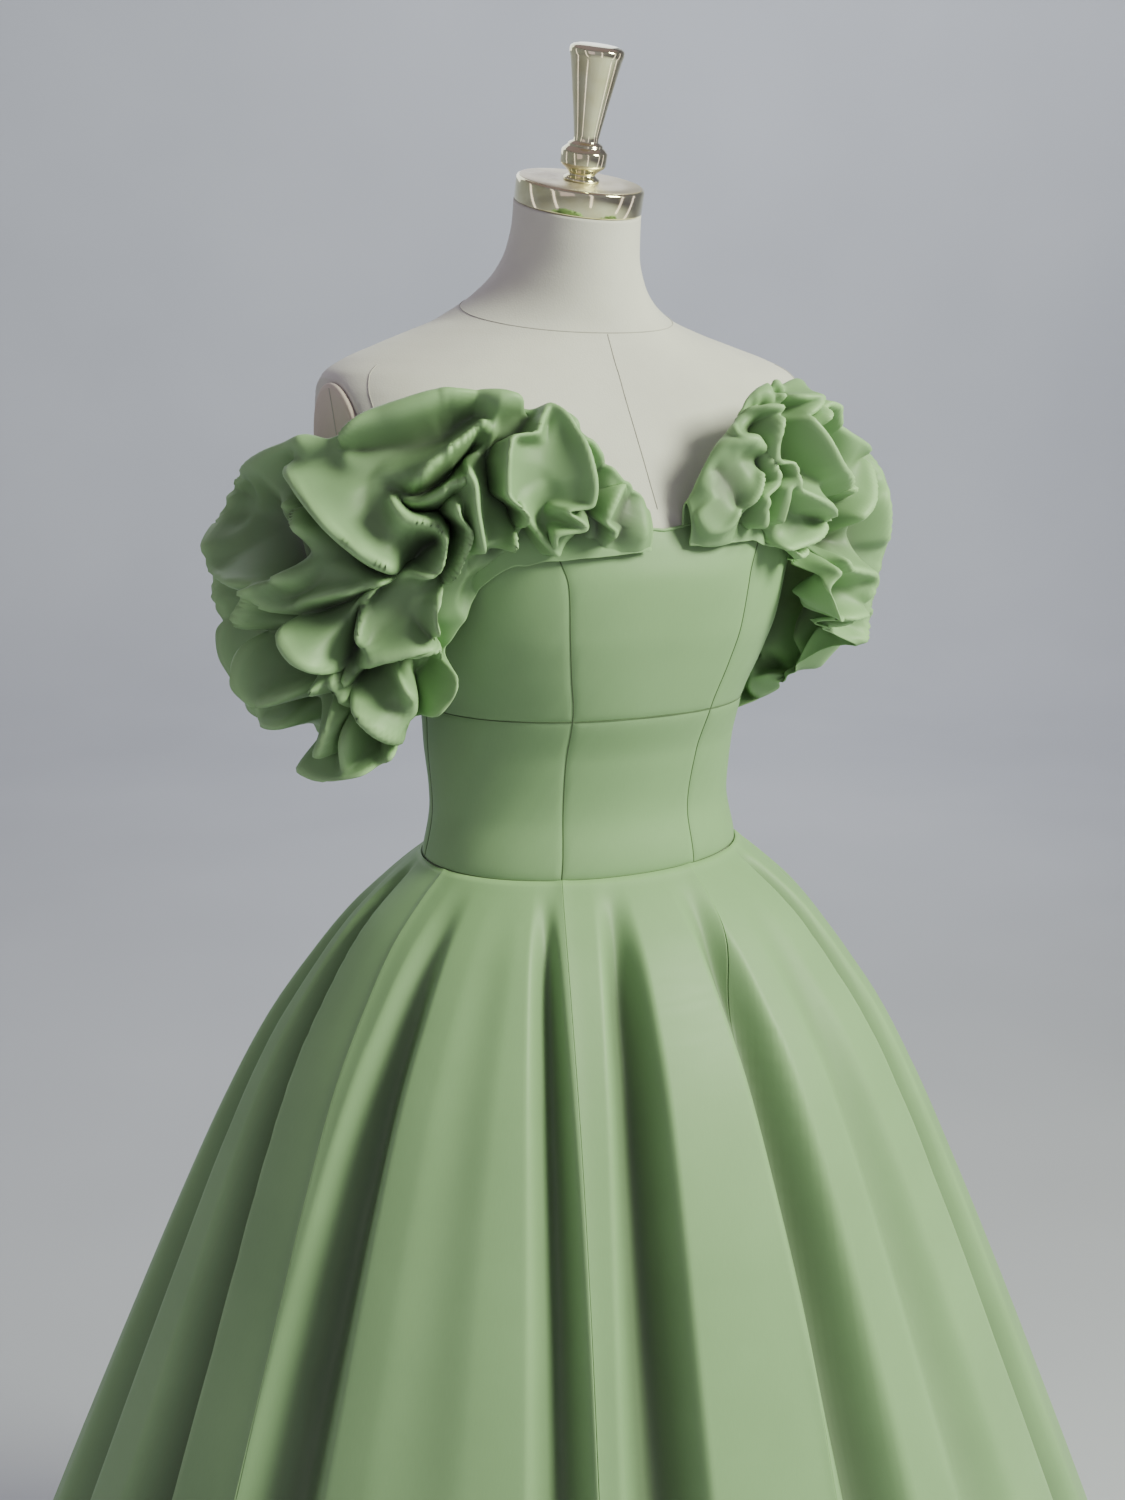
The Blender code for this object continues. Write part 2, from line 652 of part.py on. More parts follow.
def makeMetalwork(materials):
    """The gold cap and finial on the neck, and the pole and base under the form."""
    capBottom = neckTop + seamGap
    capTop = capBottom + capHeight
    turnedSolid("form_neck_cap", (
        (capRadius - 0.0015, capBottom),
        (capRadius, capBottom + 0.0012),
        (capRadius, capTop - 0.0016),
        (capRadius - 0.0016, capTop),
    ), 36, materials["gold"], neckLean)
    foot = capTop + seamGap
    turnedSolid("form_finial", (
        (0.0130, foot),
        (0.0130, foot + 0.0020),
        (0.0095, foot + 0.0045),
        (0.0125, foot + 0.0080),
        (0.0165, foot + 0.0110),
        (0.0165, foot + 0.0200),
        (0.0130, foot + 0.0235),
        (0.0088, foot + 0.0270),
        (0.0100, foot + 0.0350),
        (0.0165, foot + 0.0730),
        (0.0192, foot + 0.0860),
        (0.0192, foot + 0.0890),
        (0.0120, foot + 0.0925),
    ), 20, materials["gold"], neckLean)
    turnedSolid("stand_pole", (
        (poleRadius, baseThickness + seamGap),
        (poleRadius, torsoBottom - seamGap),
    ), 16, materials["steel"])
    turnedSolid("stand_base", (
        (baseRadius, 0.0),
        (baseRadius, baseThickness - 0.004),
        (baseRadius - 0.004, baseThickness),
    ), 40, materials["steel"])


def makeBodice(materials):
    """Five panels above the under-bust seam and five midriff panels below it."""
    for name, start, end, columns in bodiceRows:
        inset = np.degrees(seamGap / 2 / 0.125)
        angles = np.linspace(start + inset, end - inset, columns + 1)
        for prefix, lower, upper, steps in (
            ("bodice_", underBust, topEdge, bodiceHeightSteps),
            ("midriff_", waistSeam, underBust, midriffHeightSteps),
        ):
            angle, share = np.meshgrid(angles, np.linspace(1, 0, steps + 1))
            bottom = lower(angle) + seamGap / 2
            top = upper(angle) - seamGap / 2 * (prefix == "midriff_")
            height = bottom + (top - bottom) * share
            addWall(prefix + name, bodicePoint, angle, height, 1, materials["satin"])


def goreLines(row):
    """The lines that a gore's columns follow: its edges and its pleats' edges and bottoms."""
    name, startWaist, startLow, endWaist, endLow = row
    lines = [(startWaist, startLow), (endWaist, endLow)]
    for waist, low, depth, halfWidth, start, lean in foldRows:
        if lean and startWaist < waist < endWaist:
            for part in (-1, -0.62, -0.3, 0, 0.3, 0.62, 1):
                lines.append((waist + part * halfWidth, low + part * halfWidth))
    return sorted(lines)


def makeSkirt(materials):
    """Seven gores from the waist seam to just above the floor."""
    share = np.array(goreHeightSteps)[:, None]
    for row in goreRows:
        lines = goreLines(row)
        places = []
        for one, two in zip(lines, lines[1:]):
            count = max(1, round((two[0] - one[0]) / goreStep))
            for k in range(count):
                part = k / count
                places.append((one[0] + (two[0] - one[0]) * part, one[1] + (two[1] - one[1]) * part))
        places.append(lines[-1])
        waist, low = np.array(places).T
        drop = seamGap / 2 + share * (waistSeam(low) - hemHeight) + 0 * waist
        angle = settled(waist, low, drop)
        inset = np.degrees(seamGap / 2 / (0.12 + drop[:, 0] * 0.45))
        angle[:, 0] += inset
        angle[:, -1] -= inset
        addWall("skirt_" + row[0], skirtPoint, angle, drop, 1, materials["satin"])


def makeRuffles(materials):
    """The tacked ruffle on each side: along the front neckline, around the arm, and behind."""
    for side, tail in (("Right", "_right"), ("Left", "_left")):
        for name, start, end, columns in rufflePieces:
            inset = seamGap / ruffleLength
            first = start + inset if start > 0 else 0.001
            last = end - inset if end < 1 else 0.999
            across, along = np.meshgrid(
                np.linspace(0.001, 0.999, ruffleSteps + 1), np.linspace(first, last, columns + 1), indexing="ij")

            def surface(u, v):
                return rufflePoint(u, v, side)

            turnOut = 1 if side == "Right" else -1
            addWall(name + tail, surface, along, across, turnOut, materials["satin"])


def boxPoints(centre, size):
    """The eight corners of a box and its faces."""
    half = np.array(size) / 2
    corners = [(x, y, z) for z in (-1, 1) for y in (-1, 1) for x in (-1, 1)]
    points = np.array(corners) * half + np.array(centre)
    faces = [(0, 2, 3, 1), (4, 5, 7, 6), (0, 1, 5, 4), (2, 6, 7, 3), (0, 4, 6, 2), (1, 3, 7, 5)]
    return points, faces


def joined(base, others, operation):
    """Boolean modifiers on a solid, with the other solids kept as hidden guides."""
    for k, other in enumerate(others):
        step = base.modifiers.new("cut" + str(k), "BOOLEAN")
        step.operation = operation
        step.object = other
        other.hide_render = True
        other.display_type = "WIRE"
    return base


def crossBar(name, radius, halfLength, centre, sides, material):
    """A round bar along X."""
    turn = np.linspace(0, 2 * np.pi, sides, endpoint=False)
    rings = []
    for x in (-halfLength, halfLength):
        y = centre[1] + radius * np.cos(turn)
        z = centre[2] + radius * np.sin(turn)
        rings.append(np.stack([centre[0] + x + 0 * turn, y, z], -1))
    return ringSolid(name, rings, material)


def makeZip(materials):
    """The slider on the centre-back closure and its pull tab, hinged on the slider's lug."""
    metal = materials["zip_metal"]
    back = bodicePoint(np.array([180.0]), np.array([zipAxisHeight]))[0]
    axis = np.array([0, back[1] + zipAxisStandOff, zipAxisHeight])
    lugTop = axis[1] + 0.0016
    slider = addSolid("zip_slider", *boxPoints((0, back[1] + 0.0003 + 0.0006, zipAxisHeight), (0.0052, 0.0012, 0.0095)), metal)
    lugFront = back[1] + 0.0009
    lug = addSolid("zip_lug_shape", *boxPoints(
        (0, (lugFront + lugTop) / 2, zipAxisHeight), (zipLugThickness, lugTop - lugFront, 0.0036)), metal)
    hole = crossBar("zip_lug_hole", zipPinRadius + seamGap, 0.004, axis, 12, metal)
    joined(lug, [hole], "DIFFERENCE")
    joined(slider, [lug], "UNION")
    reach = zipTabLength
    tab = addSolid("zip_pull_tab", *boxPoints(
        (0, axis[1], axis[2] - 0.0026 - reach / 2), (zipTabWidth, zipTabThickness, reach)), metal)
    ears = []
    earX = zipLugThickness / 2 + seamGap + 0.0006
    for side in (-1, 1):
        ears.append(addSolid("zip_ear_shape" + str(side + 1), *boxPoints(
            (side * earX, axis[1], axis[2] - 0.0012), (0.0012, 0.0018, 0.0040)), metal))
    pin = crossBar("zip_pin_shape", zipPinRadius, earX, axis, 12, metal)
    joined(tab, ears + [pin], "UNION")


def clearScene():
    for thing in list(bpy.data.objects):
        bpy.data.objects.remove(thing, do_unlink=True)


clearScene()
materials = makeMaterials()
makeForm(materials)
makeArmPlates(materials)
makeMetalwork(materials)
makeBodice(materials)
makeSkirt(materials)
makeRuffles(materials)
makeZip(materials)
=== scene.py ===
# The fine look of an off-shoulder a-line satin gown on a limbless dress form.
# Metres, +Z up, the wearer faces -Y. Angles run from centre front towards the wearer's right.
import bpy
import numpy as np
from mathutils import Matrix, Vector


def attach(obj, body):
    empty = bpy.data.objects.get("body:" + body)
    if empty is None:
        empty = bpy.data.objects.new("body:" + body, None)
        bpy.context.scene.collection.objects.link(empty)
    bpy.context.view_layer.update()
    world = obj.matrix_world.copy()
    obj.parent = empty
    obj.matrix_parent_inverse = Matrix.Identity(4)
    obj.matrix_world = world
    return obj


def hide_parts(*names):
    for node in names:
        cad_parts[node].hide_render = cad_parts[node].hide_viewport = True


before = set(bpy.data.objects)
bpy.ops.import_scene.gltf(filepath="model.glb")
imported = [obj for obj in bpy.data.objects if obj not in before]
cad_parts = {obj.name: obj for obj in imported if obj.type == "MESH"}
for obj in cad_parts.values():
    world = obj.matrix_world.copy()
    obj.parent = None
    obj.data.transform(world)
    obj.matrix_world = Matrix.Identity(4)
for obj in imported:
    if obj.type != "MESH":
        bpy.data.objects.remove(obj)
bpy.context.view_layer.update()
print("frame loaded:", len(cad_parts), "nodes")

# Curves, grids and the ways to make a piece


def cubic(share, start, end, startSlope, endSlope):
    # a cubic from start to end, whose slopes are given for the whole stretch
    leaving = (2 * share**3 - 3 * share**2 + 1) * start + (share**3 - 2 * share**2 + share) * startSlope
    return leaving + (3 * share**2 - 2 * share**3) * end + (share**3 - share**2) * endSlope


def smooth(knots, values, at):
    # a monotone cubic through the knots, which never swings past them
    at = np.clip(at, knots[0], knots[-1])
    gaps = np.diff(knots)
    slopes = np.diff(values) / gaps
    bends = np.zeros_like(values)
    bends[0] = slopes[0]
    bends[-1] = slopes[-1]
    product = slopes[:-1] * slopes[1:]
    total = slopes[:-1] + slopes[1:]
    same = product > 0
    bends[1:-1][same] = 2 * product[same] / total[same]
    i = np.clip(np.searchsorted(knots, at, side="right") - 1, 0, len(gaps) - 1)
    share = (at - knots[i]) / gaps[i]
    return cubic(share, values[i], values[i + 1], gaps[i] * bends[i], gaps[i] * bends[i + 1])


def fromTable(table, name, at):
    # the named column of a table, read smoothly at values of its first column
    rows = np.array(table["rows"], float)
    return smooth(rows[:, 0], rows[:, table["columns"].index(name)], at)


def through(points, at):
    # a soft curve through all the points; a whole number is a point of the list
    last = len(points) - 1
    i = np.clip(np.floor(at).astype(int), 0, last - 1)
    before, one = points[np.clip(i - 1, 0, last)], points[i]
    two, after = points[i + 1], points[np.clip(i + 2, 0, last)]
    return cubic((at - i)[..., None], one, two, (two - before) / 2, (after - one) / 2)


def bell(away, reach):
    # a round hump that ends at its reach
    return np.clip(1 - (away / reach) ** 2, 0, None) ** 2


def step(value, start, end):
    share = np.clip((value - start) / (end - start), 0, 1)
    return share * share * (3 - 2 * share)


def denser(count, extra):
    # even shares from 0 to 1, and a few more near the ends, where the cloth turns in
    return np.sort(np.concatenate([np.linspace(0, 1, count + 1), extra]))


def unit(vectors):
    return vectors / np.maximum(np.linalg.norm(vectors, axis=-1, keepdims=True), 1e-12)


def gridNormals(points):
    return unit(np.cross(np.gradient(points, axis=1), np.gradient(points, axis=0)))


def newMesh(name, points, faces, uv=None, paintedFoldShade=None):
    # uv holds one pair per point, in metres, and the last argument one value per point of painted fold shade,
    #     # from 0 in the open to 1 at the bottom of a deep fold
    mesh = bpy.data.meshes.new(name)
    mesh.from_pydata(points.reshape(-1, 3).tolist(), [], [tuple(int(i) for i in f) for f in faces])
    if uv is not None:
        corner = np.empty(len(mesh.loops), int)
        mesh.loops.foreach_get("vertex_index", corner)
        layer = mesh.uv_layers.new(name="cloth")
        layer.data.foreach_set("uv", np.asarray(uv, np.float32)[corner].ravel())
    if paintedFoldShade is not None:
        layer = mesh.attributes.new("paintedFoldShade", "FLOAT", "POINT")
        layer.data.foreach_set("value", np.asarray(paintedFoldShade, np.float32).ravel())
    mesh.shade_smooth()
    piece = bpy.data.objects.new(name, mesh)
    bpy.context.scene.collection.objects.link(piece)
    return piece


def quads(rows, columns, around=False):
    # faces of a rows x columns grid, joined around where the last column meets the first
    r, c = np.meshgrid(np.arange(rows - 1), np.arange(columns if around else columns - 1), indexing="ij")
    a = (r * columns + c).ravel()
    b = (r * columns + (c + 1) % columns).ravel()
    return np.stack([a, b, b + columns, a + columns], 1)


def closedFaces(rows, columns):
    # faces around a body and over its two ends
    faces = [tuple(face) for face in quads(rows, columns, True)]
    faces.append(tuple(range(columns))[::-1])
    faces.append(tuple(range((rows - 1) * columns, rows * columns)))
    return faces


def lengths(points):
    # metres along each row and down each column, for a cloth's own UV map
    along = np.linalg.norm(np.diff(points, axis=1), axis=-1)
    down = np.linalg.norm(np.diff(points, axis=0), axis=-1)
    u = np.concatenate([np.zeros((len(points), 1)), np.cumsum(along, 1)], 1)
    v = np.concatenate([np.zeros((1, points.shape[1])), np.cumsum(down, 0)], 0)
    return np.stack([u - u.mean(1, keepdims=True), v], -1)


def measures(points):
    # the length of each row and of each column of a grid, and its area
    along, down = np.diff(points, axis=1), np.diff(points, axis=0)
    area = np.linalg.norm(np.cross(along[:-1], down[:, :-1]), axis=-1).sum()
    return np.linalg.norm(along, axis=-1).sum(1), np.linalg.norm(down, axis=-1).sum(0), float(area)


def makeCloth(name, points, thickness, nodes, paintedFoldShade=None):
    # a sheet of satin with its thickness laid inwards, in the place of its CAD nodes; it comes
    # back with its measures
    piece = newMesh(name, points, quads(*points.shape[:2]), lengths(points).reshape(-1, 2), paintedFoldShade)
    solid = piece.modifiers.new("wall", "SOLIDIFY")
    solid.thickness = thickness
    solid.offset = -1
    solid.use_even_offset = False
    finish(piece, satin, nodes)
    return piece, *measures(points)


def turnedPiece(name, profile, sides, lean=0, pivot=0.0):
    # a closed body: the profile of radius and height carried around an axis that leans forward
    turn = np.linspace(0, 2 * np.pi, sides, endpoint=False)
    radius, height = np.array(profile).T
    x = radius[:, None] * np.cos(turn)
    y = radius[:, None] * np.sin(turn)
    up = (height - pivot)[:, None] + 0 * x
    leaning = [x, y * np.cos(lean) - up * np.sin(lean), y * np.sin(lean) + up * np.cos(lean) + pivot]
    return newMesh(name, np.stack(leaning, -1), closedFaces(len(profile), sides))


def thread(name, points, radius, material):
    # a fine cord laid through points, as one tube
    curve = bpy.data.curves.new(name, "CURVE")
    curve.dimensions = "3D"
    curve.bevel_depth = radius
    curve.bevel_resolution = 2
    curve.use_fill_caps = True
    run = curve.splines.new("POLY")
    run.points.add(len(points) - 1)
    run.points.foreach_set("co", np.concatenate([points, np.ones((len(points), 1))], 1).ravel())
    piece = bpy.data.objects.new(name, curve)
    bpy.context.scene.collection.objects.link(piece)
    finish(piece, material)


def finish(piece, material, nodes=()):
    # gives a piece its material and its body, and the CAD nodes whose place it takes
    piece.data.materials.append(material)
    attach(piece, "dress_and_form")
    if nodes:
        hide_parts(*nodes)


# Finishes


def addNode(tree, kind, **values):
    # a value names one of the node's own settings or else one of its inputs
    made = tree.nodes.new(kind)
    for name, value in values.items():
        if hasattr(made, name):
            setattr(made, name, value)
        else:
            made.inputs[name.replace("_", " ")].default_value = value
    return made


def startMaterial(name):
    material = bpy.data.materials.new(name)
    material.use_nodes = True
    tree = material.node_tree
    return material, tree, tree.nodes["Principled BSDF"]


def ramp(tree, factor, stops):
    # a colour for each value of the factor
    made = tree.nodes.new("ShaderNodeValToRGB")
    while len(made.color_ramp.elements) < len(stops):
        made.color_ramp.elements.new(0.5)
    for element, (place, colour) in zip(made.color_ramp.elements, stops):
        element.position = place
        element.color = (*colour, 1)
    tree.links.new(factor, made.inputs["Fac"])
    return made.outputs["Color"]


def pattern(tree, source, scale, kind="ShaderNodeTexNoise", **values):
    # a noise laid on the object's own places or on the cloth's map
    coordinates = tree.nodes.new("ShaderNodeTexCoord")
    mapping = tree.nodes.new("ShaderNodeMapping")
    mapping.inputs["Scale"].default_value = scale
    tree.links.new(coordinates.outputs[source], mapping.inputs["Vector"])
    made = addNode(tree, kind, **values)
    tree.links.new(mapping.outputs["Vector"], made.inputs["Vector"])
    return made


def multiplied(tree, colour, by, factor=1.0):
    mix = addNode(tree, "ShaderNodeMix", data_type="RGBA", blend_type="MULTIPLY")
    mix.inputs["Factor"].default_value = factor
    tree.links.new(colour, mix.inputs["A"])
    tree.links.new(by, mix.inputs["B"])
    return mix.outputs["Result"]


def setRoughness(tree, shader, factor, low, high):
    rough = addNode(tree, "ShaderNodeMapRange", To_Min=low, To_Max=high)
    tree.links.new(factor, rough.inputs["Value"])
    tree.links.new(rough.outputs["Result"], shader.inputs["Roughness"])


def bumpChain(tree, shader, layers):
    # layers of (height socket, strength, distance), each bump feeding the next
    last = None
    for height, strength, distance in layers:
        bump = addNode(tree, "ShaderNodeBump", Strength=strength, Distance=distance)
        tree.links.new(height, bump.inputs["Height"])
        if last is not None:
            tree.links.new(last, bump.inputs["Normal"])
        last = bump.outputs["Normal"]
    tree.links.new(last, shader.inputs["Normal"])


white = (1.0, 1.0, 1.0)
satinLook = {
    "light": (0.270, 0.450, 0.212),
    "deep": (0.243, 0.405, 0.191),
    "threads": ((0.25, (0.86, 0.86, 0.86)), (0.75, white)),
    "threadShare": 0.35,
    "threadsPerMetre": 1600.0,
    # painted highlight on convex fold edges and painted shade in concave creases, set by pointiness
    "edges": ((0.40, (0.62, 0.60, 0.60)), (0.49, (0.97, 0.97, 0.97)), (0.51, white),
              (0.60, (1.35, 1.33, 1.30))),
    # painted shade in the deep folds, from none in the open to darkest at the bottom
    "paintedFoldShade": ((0.0, white), (0.5, (0.64, 0.58, 0.67)), (1.0, (0.38, 0.29, 0.43))),
    "roughness": (0.44, 0.52),
    "shine": 0.24,
    "sheen": 0.04,
    "sheenRoughness": 0.40,
    "sheenTint": (0.72, 0.90, 0.60, 1),
}


def makeSatin():
    # a warp-faced satin: fine threads along the cloth, soft uneven sheen, faint slubs, with painted highlight
    # and painted shade on its folds
    material, tree, shader = startMaterial("satin_look")
    fine = satinLook["threadsPerMetre"]
    large = pattern(tree, "Object", (1, 1, 1), Scale=9.0, Detail=3.0, Roughness=0.55)
    threads = pattern(tree, "UV", (fine, fine / 14, 1), Scale=1.0, Detail=2.0, Roughness=0.6)
    slubs = pattern(tree, "UV", (22, 180, 1), Scale=1.0, Detail=2.0, Roughness=0.5)
    colour = ramp(tree, large.outputs["Fac"], ((0.3, satinLook["deep"]), (0.7, satinLook["light"])))
    tint = ramp(tree, threads.outputs["Fac"], satinLook["threads"])
    colour = multiplied(tree, colour, tint, satinLook["threadShare"])
    # painted light: convex fold edges are brightened and concave creases darkened in the colour, by the
    # mesh's pointiness
    edges = addNode(tree, "ShaderNodeNewGeometry")
    colour = multiplied(tree, colour, ramp(tree, edges.outputs["Pointiness"], satinLook["edges"]))
    # painted shade: deep folds are darkened and browned in the colour, standing in for their shade
    #     # and for the light that has crossed the cloth more than once
    depth = addNode(tree, "ShaderNodeAttribute", attribute_name="paintedFoldShade")
    colour = multiplied(tree, colour, ramp(tree, depth.outputs["Fac"], satinLook["paintedFoldShade"]))
    tree.links.new(colour, shader.inputs["Base Color"])
    setRoughness(tree, shader, slubs.outputs["Fac"], *satinLook["roughness"])
    shader.inputs["Specular IOR Level"].default_value = satinLook["shine"]
    shader.inputs["Sheen Weight"].default_value = satinLook["sheen"]
    shader.inputs["Sheen Roughness"].default_value = satinLook["sheenRoughness"]
    shader.inputs["Sheen Tint"].default_value = satinLook["sheenTint"]
    bumpChain(tree, shader, (
        (slubs.outputs["Fac"], 0.05, 0.0006),
        (threads.outputs["Fac"], 0.10, 0.00012),
    ))
    return material


def makeJersey(name, light, deep, knit):
    # stretched knit: tiny loops, faint clouding
    material, tree, shader = startMaterial(name)
    cloud = pattern(tree, "Object", (1, 1, 1), Scale=14.0, Detail=5.0, Roughness=0.6)
    loops = pattern(tree, "Object", (1, 1, 0.7), "ShaderNodeTexVoronoi", Scale=knit)
    colour = ramp(tree, cloud.outputs["Fac"], ((0.3, deep), (0.65, light)))
    tree.links.new(colour, shader.inputs["Base Color"])
    shader.inputs["Roughness"].default_value = 0.92
    shader.inputs["Sheen Weight"].default_value = 0.25
    shader.inputs["Sheen Roughness"].default_value = 0.5
    bumpChain(tree, shader, (
        (cloud.outputs["Fac"], 0.08, 0.004),
        (loops.outputs["Distance"], 0.25, 0.0003),
    ))
    return material


def makeMetal(name, colour, dull, roughness, grain):
    # metal with fine rubbing marks around the piece and faint clouding
    material, tree, shader = startMaterial(name)
    marks = pattern(tree, "Object", (grain, grain, grain * 12), Scale=1.0, Detail=4.0, Roughness=0.7)
    cloud = pattern(tree, "Object", (1, 1, 1), Scale=60.0, Detail=3.0)
    clouded = ramp(tree, cloud.outputs["Fac"], ((0.35, dull), (0.6, colour)))
    tree.links.new(clouded, shader.inputs["Base Color"])
    shader.inputs["Metallic"].default_value = 1.0
    setRoughness(tree, shader, marks.outputs["Fac"], roughness * 0.7, roughness * 1.5)
    bumpChain(tree, shader, ((marks.outputs["Fac"], 0.04, 0.0001),))
    return material


satin = makeSatin()
jersey = makeJersey("jersey_look", (0.68, 0.665, 0.605), (0.62, 0.60, 0.55), 900.0)
plateCloth = makeJersey("plate_cloth_look", (0.66, 0.56, 0.48), (0.58, 0.49, 0.42), 700.0)
seamThread = makeJersey("seam_thread_look", (0.47, 0.45, 0.41), (0.41, 0.39, 0.36), 2500.0)
# stitch thread darker than the satin: real thread, and partly painted shade of the seam grooves
seamShadeThread = makeJersey("green_thread_and_seam_shade_look", (0.10, 0.17, 0.07), (0.08, 0.13, 0.055), 2500.0)
gold = makeMetal("gold_look", (0.92, 0.90, 0.60), (0.84, 0.80, 0.48), 0.08, 40.0)
brushedGold = makeMetal("brushed_gold_look", (0.90, 0.84, 0.67), (0.82, 0.76, 0.58), 0.40, 90.0)
steel = makeMetal("steel_look", (0.56, 0.56, 0.57), (0.48, 0.48, 0.49), 0.34, 60.0)
zipMetal = makeMetal("zip_metal_look", (0.36, 0.44, 0.32), (0.30, 0.37, 0.26), 0.38, 200.0)
print("finishes made")

# The form and its stand

form = {
    "columns": ("height", "halfWidth", "front", "back", "squareness", "sidesBack"),
    "rows": (
        (0.800, 0.1500, 0.0850, 0.1120, 2.30, 0.000),
        (0.860, 0.1630, 0.0980, 0.1200, 2.30, 0.000),
        (0.930, 0.1560, 0.1000, 0.1080, 2.25, 0.000),
        (1.000, 0.1360, 0.0970, 0.0800, 2.10, 0.000),
        (1.046, 0.1254, 0.0974, 0.0654, 2.05, 0.000),
        (1.085, 0.1182, 0.0915, 0.0620, 2.05, 0.000),
        (1.128, 0.1200, 0.0995, 0.0745, 2.10, 0.000),
        (1.163, 0.1210, 0.1150, 0.0850, 2.20, 0.000),
        (1.200, 0.1330, 0.1275, 0.0920, 2.30, 0.000),
        (1.226, 0.1405, 0.1345, 0.0950, 2.35, 0.000),
        (1.262, 0.1480, 0.1385, 0.0980, 2.35, 0.000),
        (1.280, 0.1570, 0.1350, 0.0985, 2.45, 0.000),
        (1.300, 0.1700, 0.1280, 0.0995, 2.60, 0.000),
        (1.330, 0.1880, 0.1100, 0.1000, 3.00, 0.000),
        (1.360, 0.1940, 0.0905, 0.0980, 3.00, 0.000),
        (1.385, 0.1920, 0.0740, 0.0925, 2.80, 0.002),
        (1.398, 0.1860, 0.0660, 0.0880, 2.60, 0.005),
        (1.408, 0.1700, 0.0590, 0.0830, 2.40, 0.010),
        (1.418, 0.1440, 0.0530, 0.0785, 2.20, 0.016),
        (1.428, 0.1160, 0.0475, 0.0740, 2.10, 0.021),
        (1.437, 0.0930, 0.0455, 0.0700, 2.00, 0.022),
        (1.452, 0.0690, 0.0445, 0.0625, 2.00, 0.016),
        (1.467, 0.0560, 0.0440, 0.0565, 2.00, 0.008),
        (1.483, 0.0490, 0.0438, 0.0525, 2.00, 0.003),
        (1.503, 0.0465, 0.0445, 0.0485, 2.00, 0.000),
        (1.5165, 0.0462, 0.0455, 0.0465, 2.00, 0.000),
    ),
    "neckTop": 1.5165,
    "neckLean": 0.257,
    "neckLeanFrom": 1.435,
    # the flat sides that carry the arm plates
    "plateHeight": 1.337,
    "plateOut": 0.1803,
    "plateLean": 0.12,
    "flatBelow": 0.09,
    "around": 192,
    # rings from one height to the next, and how many
    "bands": ((0.800, 1.3800, 100), (1.3800, 1.4665, 60), (1.4665, 1.5165, 24)),
}


def squarer(value, power):
    return np.sign(value) * np.abs(value) ** power


def formPoint(angle, height):
    # a squared ring whose half width and depths follow the height, leaning forward at the neck
    width = fromTable(form, "halfWidth", height)
    front = fromTable(form, "front", height)
    back = fromTable(form, "back", height)
    power = 2 / fromTable(form, "squareness", height)
    turn = np.radians(angle)
    x = -width * squarer(np.sin(turn), power)
    y = (back - front) / 2 - (back + front) / 2 * squarer(np.cos(turn), power)
    y = y + fromTable(form, "sidesBack", height) * np.sin(turn) ** 2
    plane = form["plateOut"] + (height - form["plateHeight"]) * form["plateLean"]
    x = np.where(height > form["plateHeight"] - form["flatBelow"], np.clip(x, -plane, plane), x)
    lean = np.clip((height - form["neckLeanFrom"]) / (form["neckTop"] - form["neckLeanFrom"]), 0, 1)
    return np.stack([x, y, height + y * np.tan(form["neckLean"]) * lean], -1)


def formNormal(angle, height):
    along = formPoint(angle + 0.4, height) - formPoint(angle - 0.4, height)
    up = formPoint(angle, height + 0.002) - formPoint(angle, height - 0.002)
    return unit(np.cross(up, along))


def makeForm():
    angles = np.linspace(180, -180, form["around"], endpoint=False)
    heights = np.concatenate([
        np.linspace(low, high, count, endpoint=high == form["neckTop"]) for low, high, count in form["bands"]
    ])
    points = formPoint(*np.meshgrid(angles, heights))
    piece = newMesh("form_skin", points, closedFaces(len(heights), len(angles)))
    finish(piece, jersey, ("form_torso",))


def seamOnForm(name, angles, heights, radius=0.0004):
    places = formPoint(angles, heights) + formNormal(angles, heights) * radius * 0.2
    thread(name, places, radius, seamThread)


def makeFormSeams():
    # the neck's joining seam, the centre seams and one seam down each shoulder
    around = np.linspace(-180, 180, 121)
    seamOnForm("form_neck_seam", around, 1.450 - 0.022 * np.cos(np.radians(around) / 2) ** 4)
    seamOnForm("form_front_seam", np.full(60, 0.0), np.linspace(1.31, 1.427, 60))
    seamOnForm("form_back_seam", np.full(60, 180.0), np.linspace(1.29, 1.446, 60))
    for side, name in ((1, "right"), (-1, "left")):
        angles = side * np.linspace(52, 66, 50)
        seamOnForm("form_shoulder_seam_" + name, angles, np.linspace(1.31, 1.405, 50))


plate = {
    "halfDepth": 0.047,
    "halfHeight": 0.056,
    "middle": 0.004,
    "gap": 0.0003,
    "thickness": 0.0050,
    "around": 96,
    # metres out from the form, then share of the full size
    "profile": ((0, 0.970), (0.0006, 0.988), (0.0014, 0.997), (0.0024, 1.0), (0.0036, 0.995), (0.0045, 0.975),
                (0.0050, 0.93), (0.0050, 0.70), (0.0050, 0.35), (0.0050, 0.02)),
    "seamRadius": 0.0005,
}


def platePoint(side, y, up, out):
    # a point of the leaning pad, by its height over the pad's middle and its distance out
    x = form["plateOut"] + up * form["plateLean"] + plate["gap"] + out
    return np.stack([side * x, y, form["plateHeight"] + up - out * form["plateLean"]], -1)


